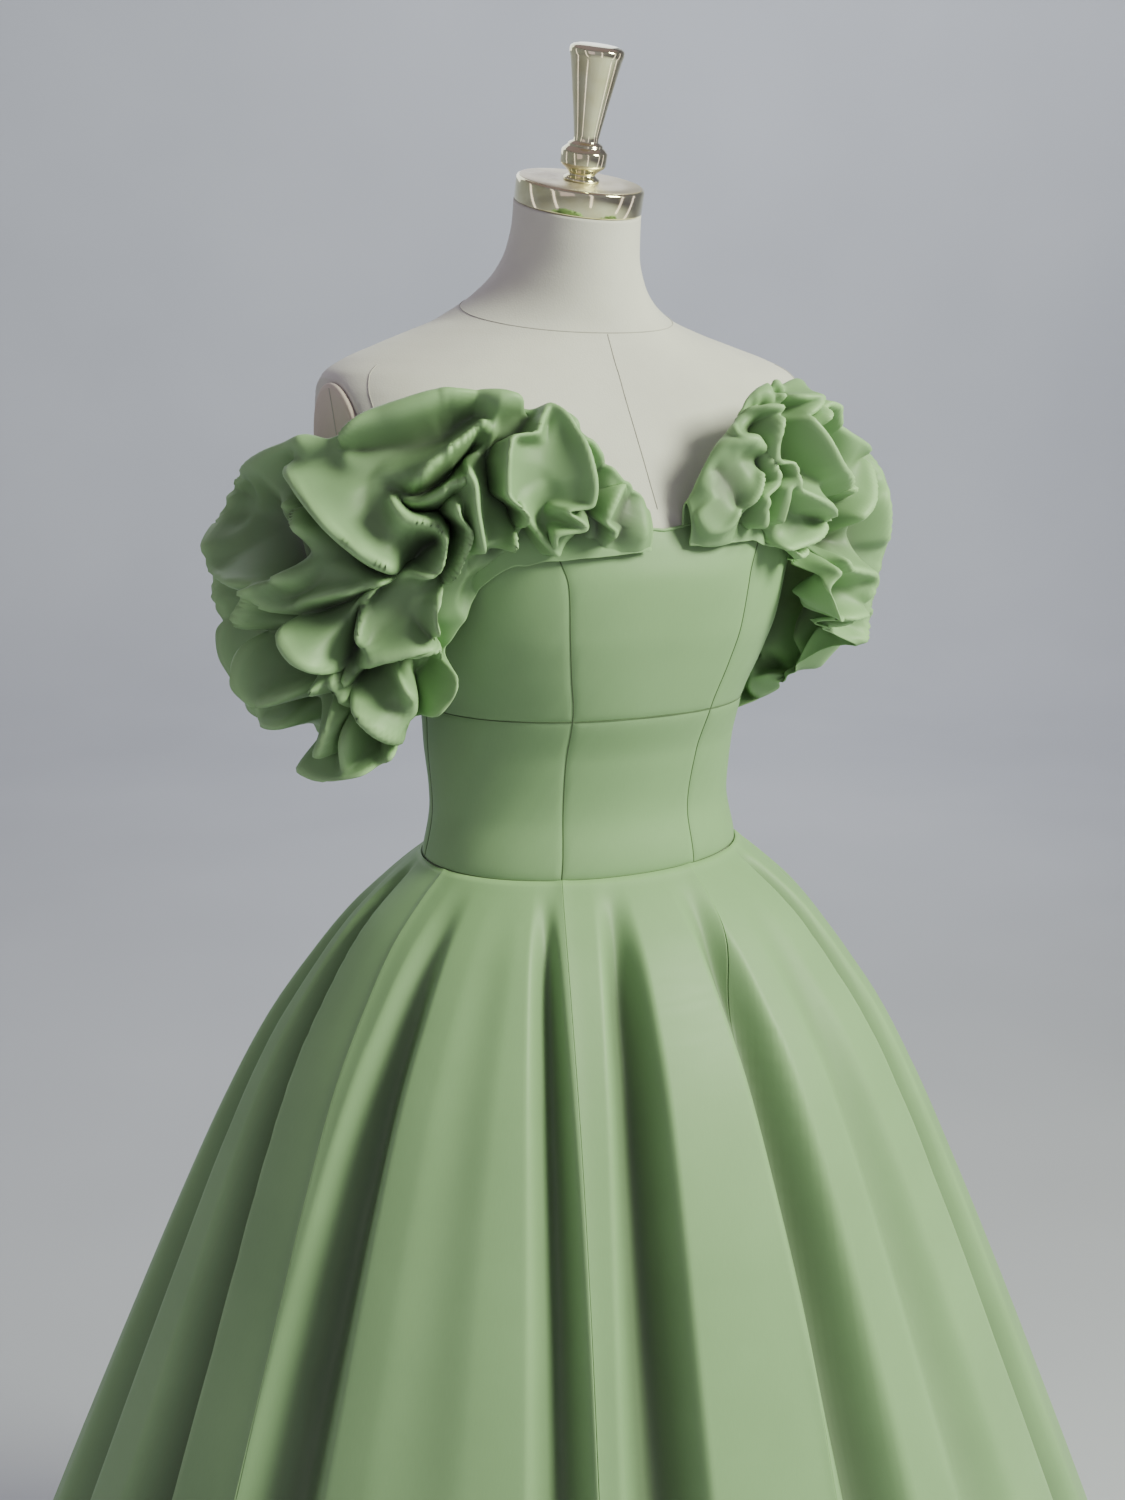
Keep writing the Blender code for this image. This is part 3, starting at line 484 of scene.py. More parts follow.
def makePlates():
    # a thin oval pad with a rounded rim, and a seam down its face
    turn = np.linspace(0, 2 * np.pi, plate["around"], endpoint=False)
    for side, name in ((-1, "right"), (1, "left")):
        points = np.array([
            platePoint(side, plate["middle"] + plate["halfDepth"] * size * np.cos(turn),
                       plate["halfHeight"] * size * np.sin(turn), out)
            for out, size in plate["profile"]
        ])
        faces = closedFaces(*points.shape[:2])
        if side < 0:
            faces = [face[::-1] for face in faces]
        piece = newMesh("arm_plate_" + name, points, faces)
        finish(piece, plateCloth, ("form_arm_plate_" + name,))
        share = np.linspace(-0.94, 0.94, 40)
        y = plate["middle"] - 0.006 + 0.004 * share**2
        line = platePoint(side, y, share * plate["halfHeight"], plate["thickness"])
        thread("arm_plate_seam_" + name, line, plate["seamRadius"], seamThread)


# Name, finish, slot, CAD nodes, sides, then radius and height from the foot of the piece
onNeck = (
    ("neck_cap", gold, "gold", ("form_neck_cap",), 128, (
        (0.0450, 0.0), (0.0460, 0.0004), (0.0465, 0.0012), (0.0465, 0.0153), (0.0463, 0.0163),
        (0.0457, 0.0171), (0.0449, 0.0175), (0.0300, 0.0175), (0.0150, 0.0175),
    )),
    ("neck_cap_top", brushedGold, "gold", (), 128, (
        (0.0440, 0.0176), (0.0446, 0.0177), (0.0444, 0.0179), (0.0300, 0.0179),
    )),
    ("finial", gold, "gold", ("form_finial",), 96, (
        (0.0126, 0.0181), (0.0130, 0.0185), (0.0130, 0.0199), (0.0118, 0.0207), (0.0098, 0.0221),
        (0.0096, 0.0231), (0.0108, 0.0245), (0.0128, 0.0263), (0.0152, 0.0281), (0.0163, 0.0293),
        (0.0166, 0.0303), (0.0166, 0.0377), (0.0163, 0.0387), (0.0152, 0.0399), (0.0134, 0.0415),
        (0.0124, 0.0421), (0.0126, 0.0431), (0.0112, 0.0443), (0.0092, 0.0451), (0.0088, 0.0461),
        (0.0093, 0.0501), (0.0106, 0.0581), (0.0131, 0.0731), (0.0162, 0.0901), (0.0184, 0.1011),
        (0.0190, 0.1031), (0.0193, 0.1043), (0.0193, 0.1069), (0.0188, 0.1081), (0.0172, 0.1092),
        (0.0140, 0.1101), (0.0090, 0.1105), (0.0030, 0.1106),
    )),
)
onFloor = (
    ("pole_tube", steel, "steel", ("stand_pole",), 64, (
        (0.0120, 0.0143), (0.0125, 0.0148), (0.0125, 0.7990), (0.0120, 0.7997),
    )),
    ("base_plate", steel, "steel", ("stand_base",), 160, (
        (0.1680, 0.0), (0.1694, 0.0006), (0.1700, 0.0016), (0.1700, 0.0092), (0.1692, 0.0112),
        (0.1676, 0.0128), (0.1655, 0.0137), (0.1630, 0.0140), (0.0600, 0.0140),
    )),
)


def makeMetalWork():
    foot = form["neckTop"] + 0.0003
    for name, material, slot, nodes, sides, profile in onNeck:
        raised = np.array(profile) + (0, foot)
        finish(turnedPiece(name, raised, sides, form["neckLean"], form["neckTop"]), material, nodes)
    for name, material, slot, nodes, sides, profile in onFloor:
        finish(turnedPiece(name, profile, sides), material, nodes)


def finishZip():
    # the slider and its tab keep their own shape
    for name in ("zip_slider", "zip_pull_tab"):
        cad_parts[name].data.materials.clear()
        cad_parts[name].data.materials.append(zipMetal)


makeForm()
makeFormSeams()
makePlates()
makeMetalWork()
finishZip()
print("form and metal made")

# Bodice and midriff

bodice = {
    "waist": 1.0455,
    "waistDip": 0.0045,
    "underBust": 1.160,
    "underBustRise": 0.003,
    "clearance": 0.0011,
    "thickness": 0.0016,
    "sheet": 0.0011,
    "gap": 0.0003,
    "meanRadius": 0.125,
    "seamDepth": 0.0008,
    "seamWidth": 0.0024,
    # faint drag lines: depth, then how fast they repeat for each degree and each metre
    "dragAtSeams": (0.00008, 0.90, 260),
    "dragAllOver": (0.00007, 0.35, 130),
    "dragReach": 0.02,
    # the rectangle that a curved panel is cut from, against the panel's middle
    "cut": 1.12,
    "panels": (
        ("front_centre", -25.4, 25.4, 64),
        ("side_right", 25.4, 96, 88),
        ("back_right", 96, 180, 80),
        ("back_left", -180, -96, 80),
        ("side_left", -96, -25.4, 88),
    ),
}
topEdge = {
    "columns": ("angle", "height"),
    "rows": ((0, 1.296), (8, 1.303), (20, 1.318), (35, 1.326), (50, 1.316), (62, 1.290), (75, 1.266),
             (90, 1.256), (105, 1.258), (125, 1.274), (150, 1.290), (180, 1.298)),
}


def bodicePoint(angle, height):
    return formPoint(angle, height) + formNormal(angle, height) * (bodice["clearance"] + bodice["thickness"])


def topHeight(angle):
    return fromTable(topEdge, "height", np.abs((angle + 180) % 360 - 180))


def underBust(angle):
    return bodice["underBust"] + bodice["underBustRise"] * np.cos(np.radians(angle))


def waistSeam(angle):
    return bodice["waist"] - bodice["waistDip"] * np.cos(np.radians(angle))


def turnIn(distance, depth, width):
    # how far cloth turns in where it is sewn, from the distance to its edge
    return depth * np.exp(-(distance / width) ** 1.3)


def dragLines(angle, height, depth, perDegree, perMetre):
    return depth * np.sin(angle * perDegree + height * perMetre)


def panelPoints(angles, lower, upper, rows, topGap):
    # a panel between two seams, turned in at its edges, with faint drag lines
    share = denser(rows, (0.004, 0.010, 0.985, 0.994))[::-1]
    angle, part = np.meshgrid(angles, share)
    bottom = lower(angle) + bodice["gap"] / 2
    top = upper(angle) - topGap
    height = bottom + (top - bottom) * part
    across = np.minimum(angle - angles[0], angles[-1] - angle) * np.radians(1) * bodice["meanRadius"]
    seam = (bodice["seamDepth"], bodice["seamWidth"])
    dip = np.maximum(turnIn(across, *seam), turnIn(np.minimum(height - bottom, top - height), *seam))
    drag = dragLines(angle, height, *bodice["dragAtSeams"]) * np.exp(-across / bodice["dragReach"])
    drag = drag + dragLines(angle, height, *bodice["dragAllOver"])
    out = formNormal(angle, height)
    return bodicePoint(angle, height) + out * (drag * step(across, 0, 0.006) - dip)[..., None]


def makeBodice():
    for name, start, end, columns in bodice["panels"]:
        inset = np.degrees(bodice["gap"] / 2 / bodice["meanRadius"])
        places = denser(columns, (0.003, 0.006, 0.010, 0.990, 0.994, 0.997))
        angles = start + inset + (end - start - 2 * inset) * places
        for node, lower, upper, rows, topGap in (
            ("bodice_" + name, underBust, topHeight, 64, 0),
            ("midriff_" + name, waistSeam, underBust, 48, bodice["gap"] / 2),
        ):
            points = panelPoints(angles, lower, upper, rows, topGap)
            piece, wide, long, area = makeCloth("fine_" + node, points, bodice["sheet"], (node,))


makeBodice()
print("bodice and midriff made")

# The skirt

flare = {
    "columns": ("drop", "out"),
    "rows": ((0.000, 0.000), (0.015, 0.020), (0.045, 0.054), (0.085, 0.087), (0.130, 0.119), (0.195, 0.154),
             (0.255, 0.182), (0.360, 0.228), (0.460, 0.270), (0.560, 0.311), (1.050, 0.505)),
}
skirt = {
    "hem": 0.008,
    "frontFlattening": 0.10,
    "angleSettling": 0.15,
    "sheet": 0.0013,
    "halfGap": 0.00015,
    # about how far the cloth is from the middle, at the waist and for each metre of drop
    "reach": (0.12, 0.45),
    # rows in the first tenth of the drop and below it, and degrees to a column at the waist
    "rows": (34, 76),
    "columnDegrees": 0.62,
    "gores": (
        ("front_centre", -22, -6, 25.4, 21.5),
        ("front_side_right", 25.4, 21.5, 75, 64),
        ("back_side_right", 75, 64, 128, 116),
        ("back_right", 128, 116, 180, 180),
        ("back_left", -180, -180, -128, -118),
        ("back_side_left", -128, -118, -75, -66),
        ("front_side_left", -75, -66, -22, -6),
    ),
    # the depth and width by which a gore turns in at its seams and at the waist
    "seam": (0.0011, 0.0032),
    "waistTurn": (0.0008, 0.003),
    # the fold depth at which the painted shade of a fold is at its darkest
    "fullShadeDepth": 0.058,
    # degrees at the waist and low down, depth, half width, drop where half grown, lean
    "folds": (
        (100, 78, 0.036, 5.0, 0.030, -2.2),
        (-55, -49, 0.036, 5.0, 0.025, 2.2),
        (150, 150, 0.032, 5.0, 0.030, -2.0),
        (-150, -148, 0.032, 5.0, 0.030, 2.0),
        (31, 25.5, 0.030, 4.2, 0.045, 0),
        (10, 14.0, 0.044, 5.8, 0.050, 0),
        (-14, -13, 0.040, 5.6, 0.060, 0),
        (43, 43, 0.004, 6.0, 0.050, 0),
        (61, 59, 0.034, 6.0, 0.070, 0),
        (-33, -30, 0.016, 6.0, 0.110, 0),
        (-74, -70, 0.022, 7.0, 0.110, 0),
        (-95, -88, 0.030, 7.0, 0.080, 0),
        (-112, -106, 0.028, 6.5, 0.090, 0),
        (-132, -127, 0.032, 7.0, 0.080, 0),
        (-168, -167, 0.032, 6.5, 0.080, 0),
        (114, 97, 0.028, 6.5, 0.080, 0),
        (126, 113, 0.026, 6.5, 0.090, 0),
        (137, 131, 0.032, 7.0, 0.080, 0),
        (168, 169, 0.032, 6.5, 0.080, 0),
    ),
}
stitches = {
    "radius": 0.0004,
    "sunk": 0.0007,
    "points": 120,
    "overWaist": 0.0002,
    "underTop": 0.0015,
    # drop where the line between two gores starts and ends
    "skirt": (0.004, 1.028),
    "rollRadius": 0.0011,
    "rollSunk": 0.0004,
}


def settled(waist, low, drop):
    # an angle that drifts from its value at the waist to its value low down
    return low + (waist - low) * np.exp(-drop / skirt["angleSettling"])


def skirtPoint(angle, drop):
    # a cone that swings out from the waist, less the depth of each fold, whose bottom leans
    #     # around; the second value tells how deep in a fold each point lies, which sets its painted shade
    sunk = 0 * (angle + drop)
    leant = 0 * (angle + drop)
    for waist, low, depth, half, start, lean in skirt["folds"]:
        away = (angle - settled(waist, low, drop) + 180) % 360 - 180
        shape = bell(away, half) * drop**2 / (drop**2 + start**2)
        sunk = sunk + depth * shape
        leant = leant + lean * shape
    seam = waistSeam(angle)
    turn = np.radians(angle + leant)
    out = fromTable(flare, "out", drop) - sunk
    out = out * (1 - skirt["frontFlattening"] * np.clip(np.cos(turn), 0, None) ** 4)
    waist = bodicePoint(angle, seam)
    x, y = waist[..., 0] - out * np.sin(turn), waist[..., 1] - out * np.cos(turn)
    return np.stack([x, y, seam - drop], -1), np.clip(sunk / skirt["fullShadeDepth"], 0, 1)


def makeSkirt():
    high, below = skirt["rows"]
    share = np.concatenate([np.linspace(0, 0.10, high, endpoint=False), np.linspace(0.10, 1, below)])[:, None]
    for name, startWaist, startLow, endWaist, endLow in skirt["gores"]:
        columns = int(round((endWaist - startWaist) / skirt["columnDegrees"]))
        places = denser(columns, (0.002, 0.005, 0.009, 0.991, 0.995, 0.998))
        waist = startWaist + (endWaist - startWaist) * places
        low = startLow + (endLow - startLow) * places
        drop = skirt["halfGap"] + share * (waistSeam(low) - skirt["hem"]) + 0 * waist
        reach = skirt["reach"][0] + drop * skirt["reach"][1]
        inset = np.degrees(skirt["halfGap"] / reach)
        points, paintedFoldShade = skirtPoint(settled(waist, low, drop) + inset * (1 - 2 * places), drop)
        edge = np.minimum(places, 1 - places) * np.radians(endLow - startLow) * reach
        dip = turnIn(edge, *skirt["seam"]) + turnIn(drop, *skirt["waistTurn"])
        points = points + gridNormals(points) * dip[..., None]
        nodes = ("skirt_" + name,)
        piece, wide, long, area = makeCloth("gore_" + name, points, skirt["sheet"], nodes, paintedFoldShade)


def makeSeamLines():
    # the rolled top edge, then stitches around the body, up the panels and between the gores; their dark
    # thread is partly painted shade of the seam grooves
    around = np.linspace(-180, 180, 361)
    edge = bodicePoint(around, topHeight(around) - stitches["rollSunk"])
    edge = edge - formNormal(around, topHeight(around)) * stitches["rollSunk"]
    thread("top_edge_roll", edge, stitches["rollRadius"], satin)
    share = np.linspace(0, 1, stitches["points"])
    lines = [
        ("under_bust", bodicePoint(around, underBust(around))),
        ("waist", bodicePoint(around, waistSeam(around) + stitches["overWaist"])),
    ]
    for name, start, *_ in bodice["panels"]:
        angle = start + 0 * share
        low, high = waistSeam(angle), topHeight(angle) - stitches["underTop"]
        lines.append((name, bodicePoint(angle, low + (high - low) * share)))
    start, end = stitches["skirt"]
    drop = start + share * (end - start)
    for name, waist, low, *_ in skirt["gores"]:
        lines.append(("gore_" + name, skirtPoint(settled(waist, low, drop), drop)[0]))
    for name, places in lines:
        places = places + unit(places * (-1, -1, 0)) * stitches["sunk"]
        thread("seam_line_" + name, places, stitches["radius"], seamShadeThread)


makeSkirt()
makeSeamLines()
print("skirt made")

# The ruffles

ruffle = {
    # degrees of the top edge that each end is sewn along, and the sleeve's share of the length
    "front": (2.5, 44.0),
    "back": (150.0, 172.0),
    "sleeve": (0.34, 0.80),
    "lift": 0.0004,
    # out, back and height of the seam where it leaves the bodice to pass around the arm
    "arm": ((0.164, -0.0905, 1.313), (0.192, -0.0765, 1.314), (0.216, -0.046, 1.320), (0.227, -0.004, 1.320),
            (0.218, 0.042, 1.314), (0.190, 0.069, 1.303), (0.154, 0.081, 1.294), (0.122, 0.0865, 1.290)),
    "columns": ("along", "facing", "crestRight", "hemRight", "crestLeft", "hemLeft", "lean", "belly", "tuck",
                "puff"),
    "rows": (
        (0.00, 2, 1.310, 1.284, 1.314, 1.286, 0.000, 0.011, 0.008, 0.004),
        (0.05, 8, 1.334, 1.282, 1.352, 1.286, 0.000, 0.019, 0.011, 0.014),
        (0.12, 17, 1.370, 1.281, 1.384, 1.288, 0.000, 0.025, 0.012, 0.024),
        (0.22, 29, 1.380, 1.258, 1.392, 1.262, 0.000, 0.029, 0.013, 0.030),
        (0.32, 40, 1.380, 1.205, 1.366, 1.222, 0.000, 0.034, 0.014, 0.032),
        (0.41, 53, 1.362, 1.145, 1.344, 1.200, 0.000, 0.036, 0.009, 0.032),
        (0.50, 72, 1.340, 1.132, 1.326, 1.178, 0.000, 0.028, -0.004, 0.032),
        (0.58, 91, 1.326, 1.140, 1.320, 1.150, 0.000, 0.024, -0.010, 0.032),
        (0.67, 112, 1.324, 1.144, 1.324, 1.116, 0.004, 0.025, -0.006, 0.032),
        (0.77, 134, 1.336, 1.168, 1.336, 1.136, 0.012, 0.030, 0.004, 0.030),
        (0.86, 150, 1.340, 1.202, 1.340, 1.202, 0.018, 0.028, 0.012, 0.024),
        (0.94, 163, 1.338, 1.225, 1.338, 1.225, 0.015, 0.022, 0.013, 0.013),
        (1.00, 172, 1.322, 1.250, 1.322, 1.250, 0.009, 0.017, 0.014, 0.002),
    ),
    # how the section goes out and up on its way from the seam to the crest
    "riseOut": 0.10,
    "riseUp": 0.78,
    "crestOut": 0.52,
    # how much flatter the left one is around its arm
    "leftBellyLess": 0.55,
    "leftPuffLess": 0.40,
    "clearance": (0.0031, 0.0078),
    # the share of the length or depth that is reached by each count of the grid
    "columnsTo": ((0.0, 0.62, 1.0), (0.0, 225.0, 320.0)),
    "rowsTo": ((0.0, 0.34, 1.0), (0.0, 22.0, 130.0)),
    # the shares of the depth between which folds set in, then ease, and the painted shade of the pockets ends
    "setIn": (0.34, 0.66),
    "ease": (0.93, 1.0),
    "easeBy": 0.25,
    "pocketsEnd": (0.84, 0.96),
    "endFade": (0.0, 0.02),
    "puffGrowth": 1.3,
    "hollowPower": 1.75,
    "pocketPower": 1.6,
    # how far hollows sink, in all and along the length
    "sink": 0.85,
    "sinkAlong": ((0, 0.1, 0.3, 0.45, 0.8, 1), (0.3, 0.5, 0.9, 1, 0.9, 0.3)),
    "crispness": 0.0015,
    "shade": 0.95,
    "overhang": 1.25,
    "overhangReach": 0.014,
    "sheet": 0.0009,
}

# Each ridge of a fold: its height from 0, in the hollow, to 1, then the metres that it hangs over
# the hollow beside it (down or backwards if positive), then places in thousandths along and
# hundredths down the ruffle
ridges = {
    "Right": (
        (1.0, 0, ((430, 51), (400, 45), (380, 45), (320, 46), (260, 46), (220, 47), (180, 48))),
        (0.85, 0.01, ((471, 52), (417, 63), (395, 67), (373, 71))),
        (0.6, 0.004, ((375, 73), (427, 72), (461, 72))),
        (0.95, 0.01, ((491, 69), (463, 73), (445, 77), (423, 81), (411, 85), (389, 92), (377, 98))),
        (0.75, -0.006, ((349, 77), (375, 76), (391, 77), (401, 81))),
        (0.55, 0.003, ((403, 83), (391, 83), (365, 85), (343, 88))),
        (0.8, 0.004, ((279, 71), (281, 75), (307, 79), (333, 82), (335, 87))),
        (0.8, 0.003, ((267, 65), (250, 69), (250, 75), (248, 81))),
        (0.95, 0.007, ((220, 83), (192, 76), (188, 67), (178, 59), (150, 48))),
        (0.6, 0.004, ((176, 76), (156, 83), (122, 91))),
        (0.9, -0.008, ((148, 48), (128, 58), (114, 69), (110, 74), (116, 82), (122, 88))),
        (0.8, 0.004, ((134, 47), (114, 46), (105, 49))),
        (0.8, 0.004, ((112, 57), (92, 53), (78, 55), (50, 55))),
        (0.75, -0.004, ((46, 60), (64, 75), (70, 84))),
        (0.8, 0, ((46, 55), (16, 53), (10, 63), (14, 79))),
        (0.8, 0.008, ((251, 54), (295, 57), (347, 59), (367, 61))),
        (0.8, 0.007, ((367, 63), (357, 64), (339, 64), (299, 64), (267, 65))),
        (0.7, -0.004, ((373, 63), (377, 64), (367, 67), (347, 70), (323, 73))),
        (0.6, 0.003, ((321, 73), (329, 75), (349, 77))),
        (1.0, 0, ((481, 69), (499, 72), (513, 77), (515, 80), (513, 84))),
        (0.9, 0.008, ((521, 85), (479, 83), (451, 83), (437, 84), (437, 87), (451, 92))),
        (0.6, 0, ((553, 88), (549, 91), (511, 91))),
        (0.9, 0, ((469, 96), (451, 99), (427, 100), (405, 100), (389, 99))),
        (0.85, 0, ((425, 84), (423, 87), (425, 93), (427, 100))),
        (0.7, -0.006, ((341, 90), (359, 88), (373, 88), (377, 90), (373, 95))),
        (0.6, 0, ((327, 94), (323, 100), (339, 100), (357, 100))),
        (1.0, 0, ((465, 46), (515, 46), (595, 52), (600, 57), (595, 61), (573, 65))),
        (0.8, 0.004, ((483, 58), (459, 61), (449, 63))),
        (0.8, 0.006, ((587, 66), (511, 68), (465, 68))),
        (0.9, 0.008, ((620, 46), (635, 62), (610, 78), (620, 97))),
        (0.85, -0.006, ((690, 46), (705, 62), (680, 78))),
        (0.8, 0.008, ((640, 80), (690, 84), (740, 90), (760, 99))),
        (0.85, 0.006, ((770, 45), (750, 58), (780, 72), (820, 78))),
        (0.8, 0.006, ((840, 45), (820, 60), (860, 80), (840, 97))),
        (0.8, 0.004, ((910, 46), (900, 62), (930, 80), (915, 95))),
        (0.7, 0, ((970, 50), (965, 66), (975, 85))),
    ),
    "Left": (
        (0.8, 0.006, ((8, 45), (10, 66), (18, 78), (33, 82))),
        (0.85, 0.006, ((33, 82), (44, 78), (67, 74), (80, 70))),
        (0.85, 0, ((12, 47), (30, 47), (45, 48), (60, 55), (73, 60), (83, 65))),
        (0.8, -0.006, ((73, 51), (73, 58), (83, 65), (92, 71), (98, 77), (103, 84), (105, 91))),
        (0.8, -0.004, ((78, 45), (87, 44), (91, 49), (105, 56), (121, 59))),
        (0.85, -0.005, ((123, 62), (114, 67), (116, 73), (125, 77), (128, 82), (128, 90))),
        (0.9, 0.006, ((128, 77), (166, 79), (235, 80))),
        (0.8, 0.008, ((253, 79), (197, 87), (156, 93), (132, 95))),
        (0.95, 0.004, ((163, 61), (183, 66), (221, 71), (290, 69), (356, 64))),
        (1.0, 0, ((192, 62), (300, 52), (414, 51), (406, 57), (387, 65), (361, 71))),
        (0.8, 0.003, ((161, 97), (180, 98), (199, 91), (242, 83))),
        (0.95, 0.006, ((240, 95), (244, 99), (270, 100), (311, 100))),
        (0.9, 0.004, ((313, 100), (323, 96), (390, 90))),
        (0.9, 0, ((289, 86), (388, 82), (392, 87))),
        (0.6, 0, ((354, 100), (383, 94))),
        (0.7, 0.004, ((645, 86), (608, 91), (585, 99))),
        (0.8, 0, ((648, 95), (625, 100), (599, 100))),
        (1.0, 0, ((83, 45), (105, 45), (123, 45), (156, 45))),
        (0.8, 0.004, ((130, 45), (112, 46), (98, 50))),
        (0.9, 0.004, ((138, 51), (172, 54), (206, 55), (165, 59))),
        (0.9, 0.006, ((450, 46), (440, 60), (460, 76), (430, 97))),
        (0.85, -0.006, ((520, 47), (510, 62), (490, 74), (500, 88))),
        (0.85, 0.008, ((470, 84), (520, 88), (560, 95))),
        (0.9, 0.006, ((590, 46), (600, 62), (570, 78), (595, 97))),
        (0.8, 0, ((660, 82), (650, 66), (665, 48))),
        (0.8, 0.006, ((720, 46), (735, 60), (715, 80), (730, 97))),
        (0.85, 0.006, ((785, 45), (775, 60), (795, 76), (775, 96))),
        (0.8, 0.006, ((850, 45), (840, 62), (860, 82), (845, 97))),
        (0.8, 0.004, ((915, 46), (905, 64), (925, 80), (910, 95))),
        (0.7, 0, ((970, 50), (965, 66), (975, 85))),
    ),
}

# Each hollow between folds: its height, then places in the same measures
hollows = {
    "Right": (
        (0.05, ((361, 76), (401, 73), (441, 73), (489, 73))),
        (0.15, ((465, 58), (423, 65), (393, 70), (361, 75))),
        (0.1, ((361, 76), (389, 77), (405, 80), (419, 85))),
        (0.15, ((535, 74), (483, 80), (449, 84), (427, 89), (401, 95), (379, 100))),
        (0.05, ((419, 86), (389, 86), (363, 89), (311, 97))),
        (0.1, ((293, 73), (307, 77), (329, 82), (315, 95))),
        (0.25, ((220, 87), (206, 81), (212, 71), (222, 63))),
        (0.1, ((162, 84), (172, 91), (190, 98), (230, 100))),
        (0.1, ((114, 56), (86, 63), (90, 78), (96, 90), (110, 99))),
        (0.15, ((68, 48), (82, 73), (78, 96))),
        (0.2, ((58, 48), (32, 52), (40, 70), (55, 90))),
        (0.15, ((431, 51), (397, 53), (365, 55), (313, 54), (255, 50))),
        (0.1, ((263, 57), (297, 61), (347, 62), (367, 62))),
        (0.05, ((373, 63), (357, 65), (325, 68), (293, 73))),
        (0.2, ((359, 76), (353, 73), (337, 73))),
        (0.05, ((513, 87), (495, 88), (495, 91), (541, 100))),
        (0.3, ((419, 88), (413, 93), (403, 100))),
        (0.15, ((313, 97), (349, 94), (367, 93), (365, 100))),
        (0.15, ((487, 51), (477, 58), (473, 62), (485, 67))),
        (0.15, ((539, 58), (505, 64), (489, 67))),
        (0.15, ((540, 72), (570, 72), (600, 76))),
        (0.3, ((178, 45), (168, 50), (216, 64))),
        (0.1, ((575, 46), (610, 52), (600, 68), (570, 84), (590, 98))),
        (0.1, ((655, 48), (665, 62), (650, 78), (665, 97))),
        (0.1, ((730, 46), (725, 62), (745, 80), (715, 97))),
        (0.1, ((805, 46), (790, 60), (830, 74), (800, 90))),
        (0.15, ((875, 46), (865, 64), (890, 84), (875, 98))),
        (0.2, ((940, 48), (935, 66), (950, 90))),
    ),
    "Left": (
        (0.3, ((36, 57), (47, 69), (51, 80))),
        (0.1, ((85, 68), (80, 78), (88, 87), (97, 95))),
        (0.1, ((97, 60), (104, 68), (110, 78), (116, 86), (117, 95))),
        (0.2, ((142, 62), (138, 68), (148, 74))),
        (0.1, ((230, 60), (300, 62), (335, 70), (330, 78))),
        (0.1, ((245, 81), (205, 90), (165, 96))),
        (0.15, ((262, 82), (222, 92), (208, 99))),
        (0.1, ((300, 93), (320, 91), (340, 93))),
        (0.1, ((290, 82), (340, 78), (375, 76))),
        (0.15, ((345, 97), (372, 99), (426, 93))),
        (0.15, ((632, 93), (610, 96), (595, 96))),
        (0.15, ((74, 43), (90, 46), (110, 50))),
        (0.15, ((140, 44), (150, 48), (150, 55))),
        (0.1, ((425, 48), (410, 64), (425, 80), (400, 96))),
        (0.1, ((485, 46), (475, 60), (475, 74), (450, 90))),
        (0.1, ((555, 48), (560, 62), (535, 78), (560, 90))),
        (0.1, ((500, 92), (530, 96), (545, 100))),
        (0.1, ((625, 46), (630, 64), (610, 80), (625, 97))),
        (0.1, ((695, 46), (690, 66), (700, 82), (690, 98))),
        (0.1, ((755, 46), (752, 66), (760, 82), (750, 98))),
        (0.15, ((818, 46), (808, 64), (825, 84), (812, 98))),
        (0.15, ((883, 46), (873, 66), (890, 84), (880, 98))),
        (0.2, ((942, 48), (937, 66), (948, 90))),
    ),
}


def liftedEdge(angles):
    return bodicePoint(angles, topHeight(angles)) + formNormal(angles, topHeight(angles)) * ruffle["lift"]


def seamLine():
    # along the bodice's top edge, around the arm and back to the top edge behind
    front = liftedEdge(np.linspace(*ruffle["front"], 60))
    back = liftedEdge(np.linspace(*ruffle["back"], 60))
    arm = np.array(ruffle["arm"]) * (-1, 1, 1)
    stops = np.vstack([front[-12], front[-1], arm, back[0], back[12]])
    sleeve = through(stops, np.linspace(1, len(stops) - 2, 161))
    run = np.concatenate([[0], np.cumsum(np.linalg.norm(np.diff(sleeve, axis=0), axis=1))])
    start, end = ruffle["sleeve"]
    along = [np.linspace(0, start, 60), start + (end - start) * run[1:-1] / run[-1], np.linspace(end, 1, 60)]
    return np.concatenate(along), np.vstack([front, sleeve[1:-1], back])


seamShare, seamPlaces = seamLine()


def clearOfBody(x, y, height, across):
    # the same places, moved straight out where they would come too near the bodice
    names = ("halfWidth", "front", "back", "squareness")
    width, front, back, power = (fromTable(form, name, height) for name in names)
    middle = (back - front) / 2
    ring = (np.abs(x / width) ** power + np.abs((y - middle) / ((back + front) / 2)) ** power) ** (1 / power)
    near, far = ruffle["clearance"]
    clearance = near + (far - near) * np.clip((across - 0.05) / 0.4, 0, 1)
    scale = np.maximum(1, 1 / ring + clearance / np.hypot(x, y - middle))
    return x * scale, middle + (y - middle) * scale


def section(values, across):
    # a curve down through five values at every place along
    i = np.clip(np.floor(across * 4).astype(int), 0, 3)
    before, one, two, after = (
        np.take_along_axis(values, np.clip(i + k, 0, 4)[None], 0)[0] for k in (-1, 0, 1, 2)
    )
    return cubic(across * 4 - i, one, two, (two - before) / 2, (after - one) / 2)


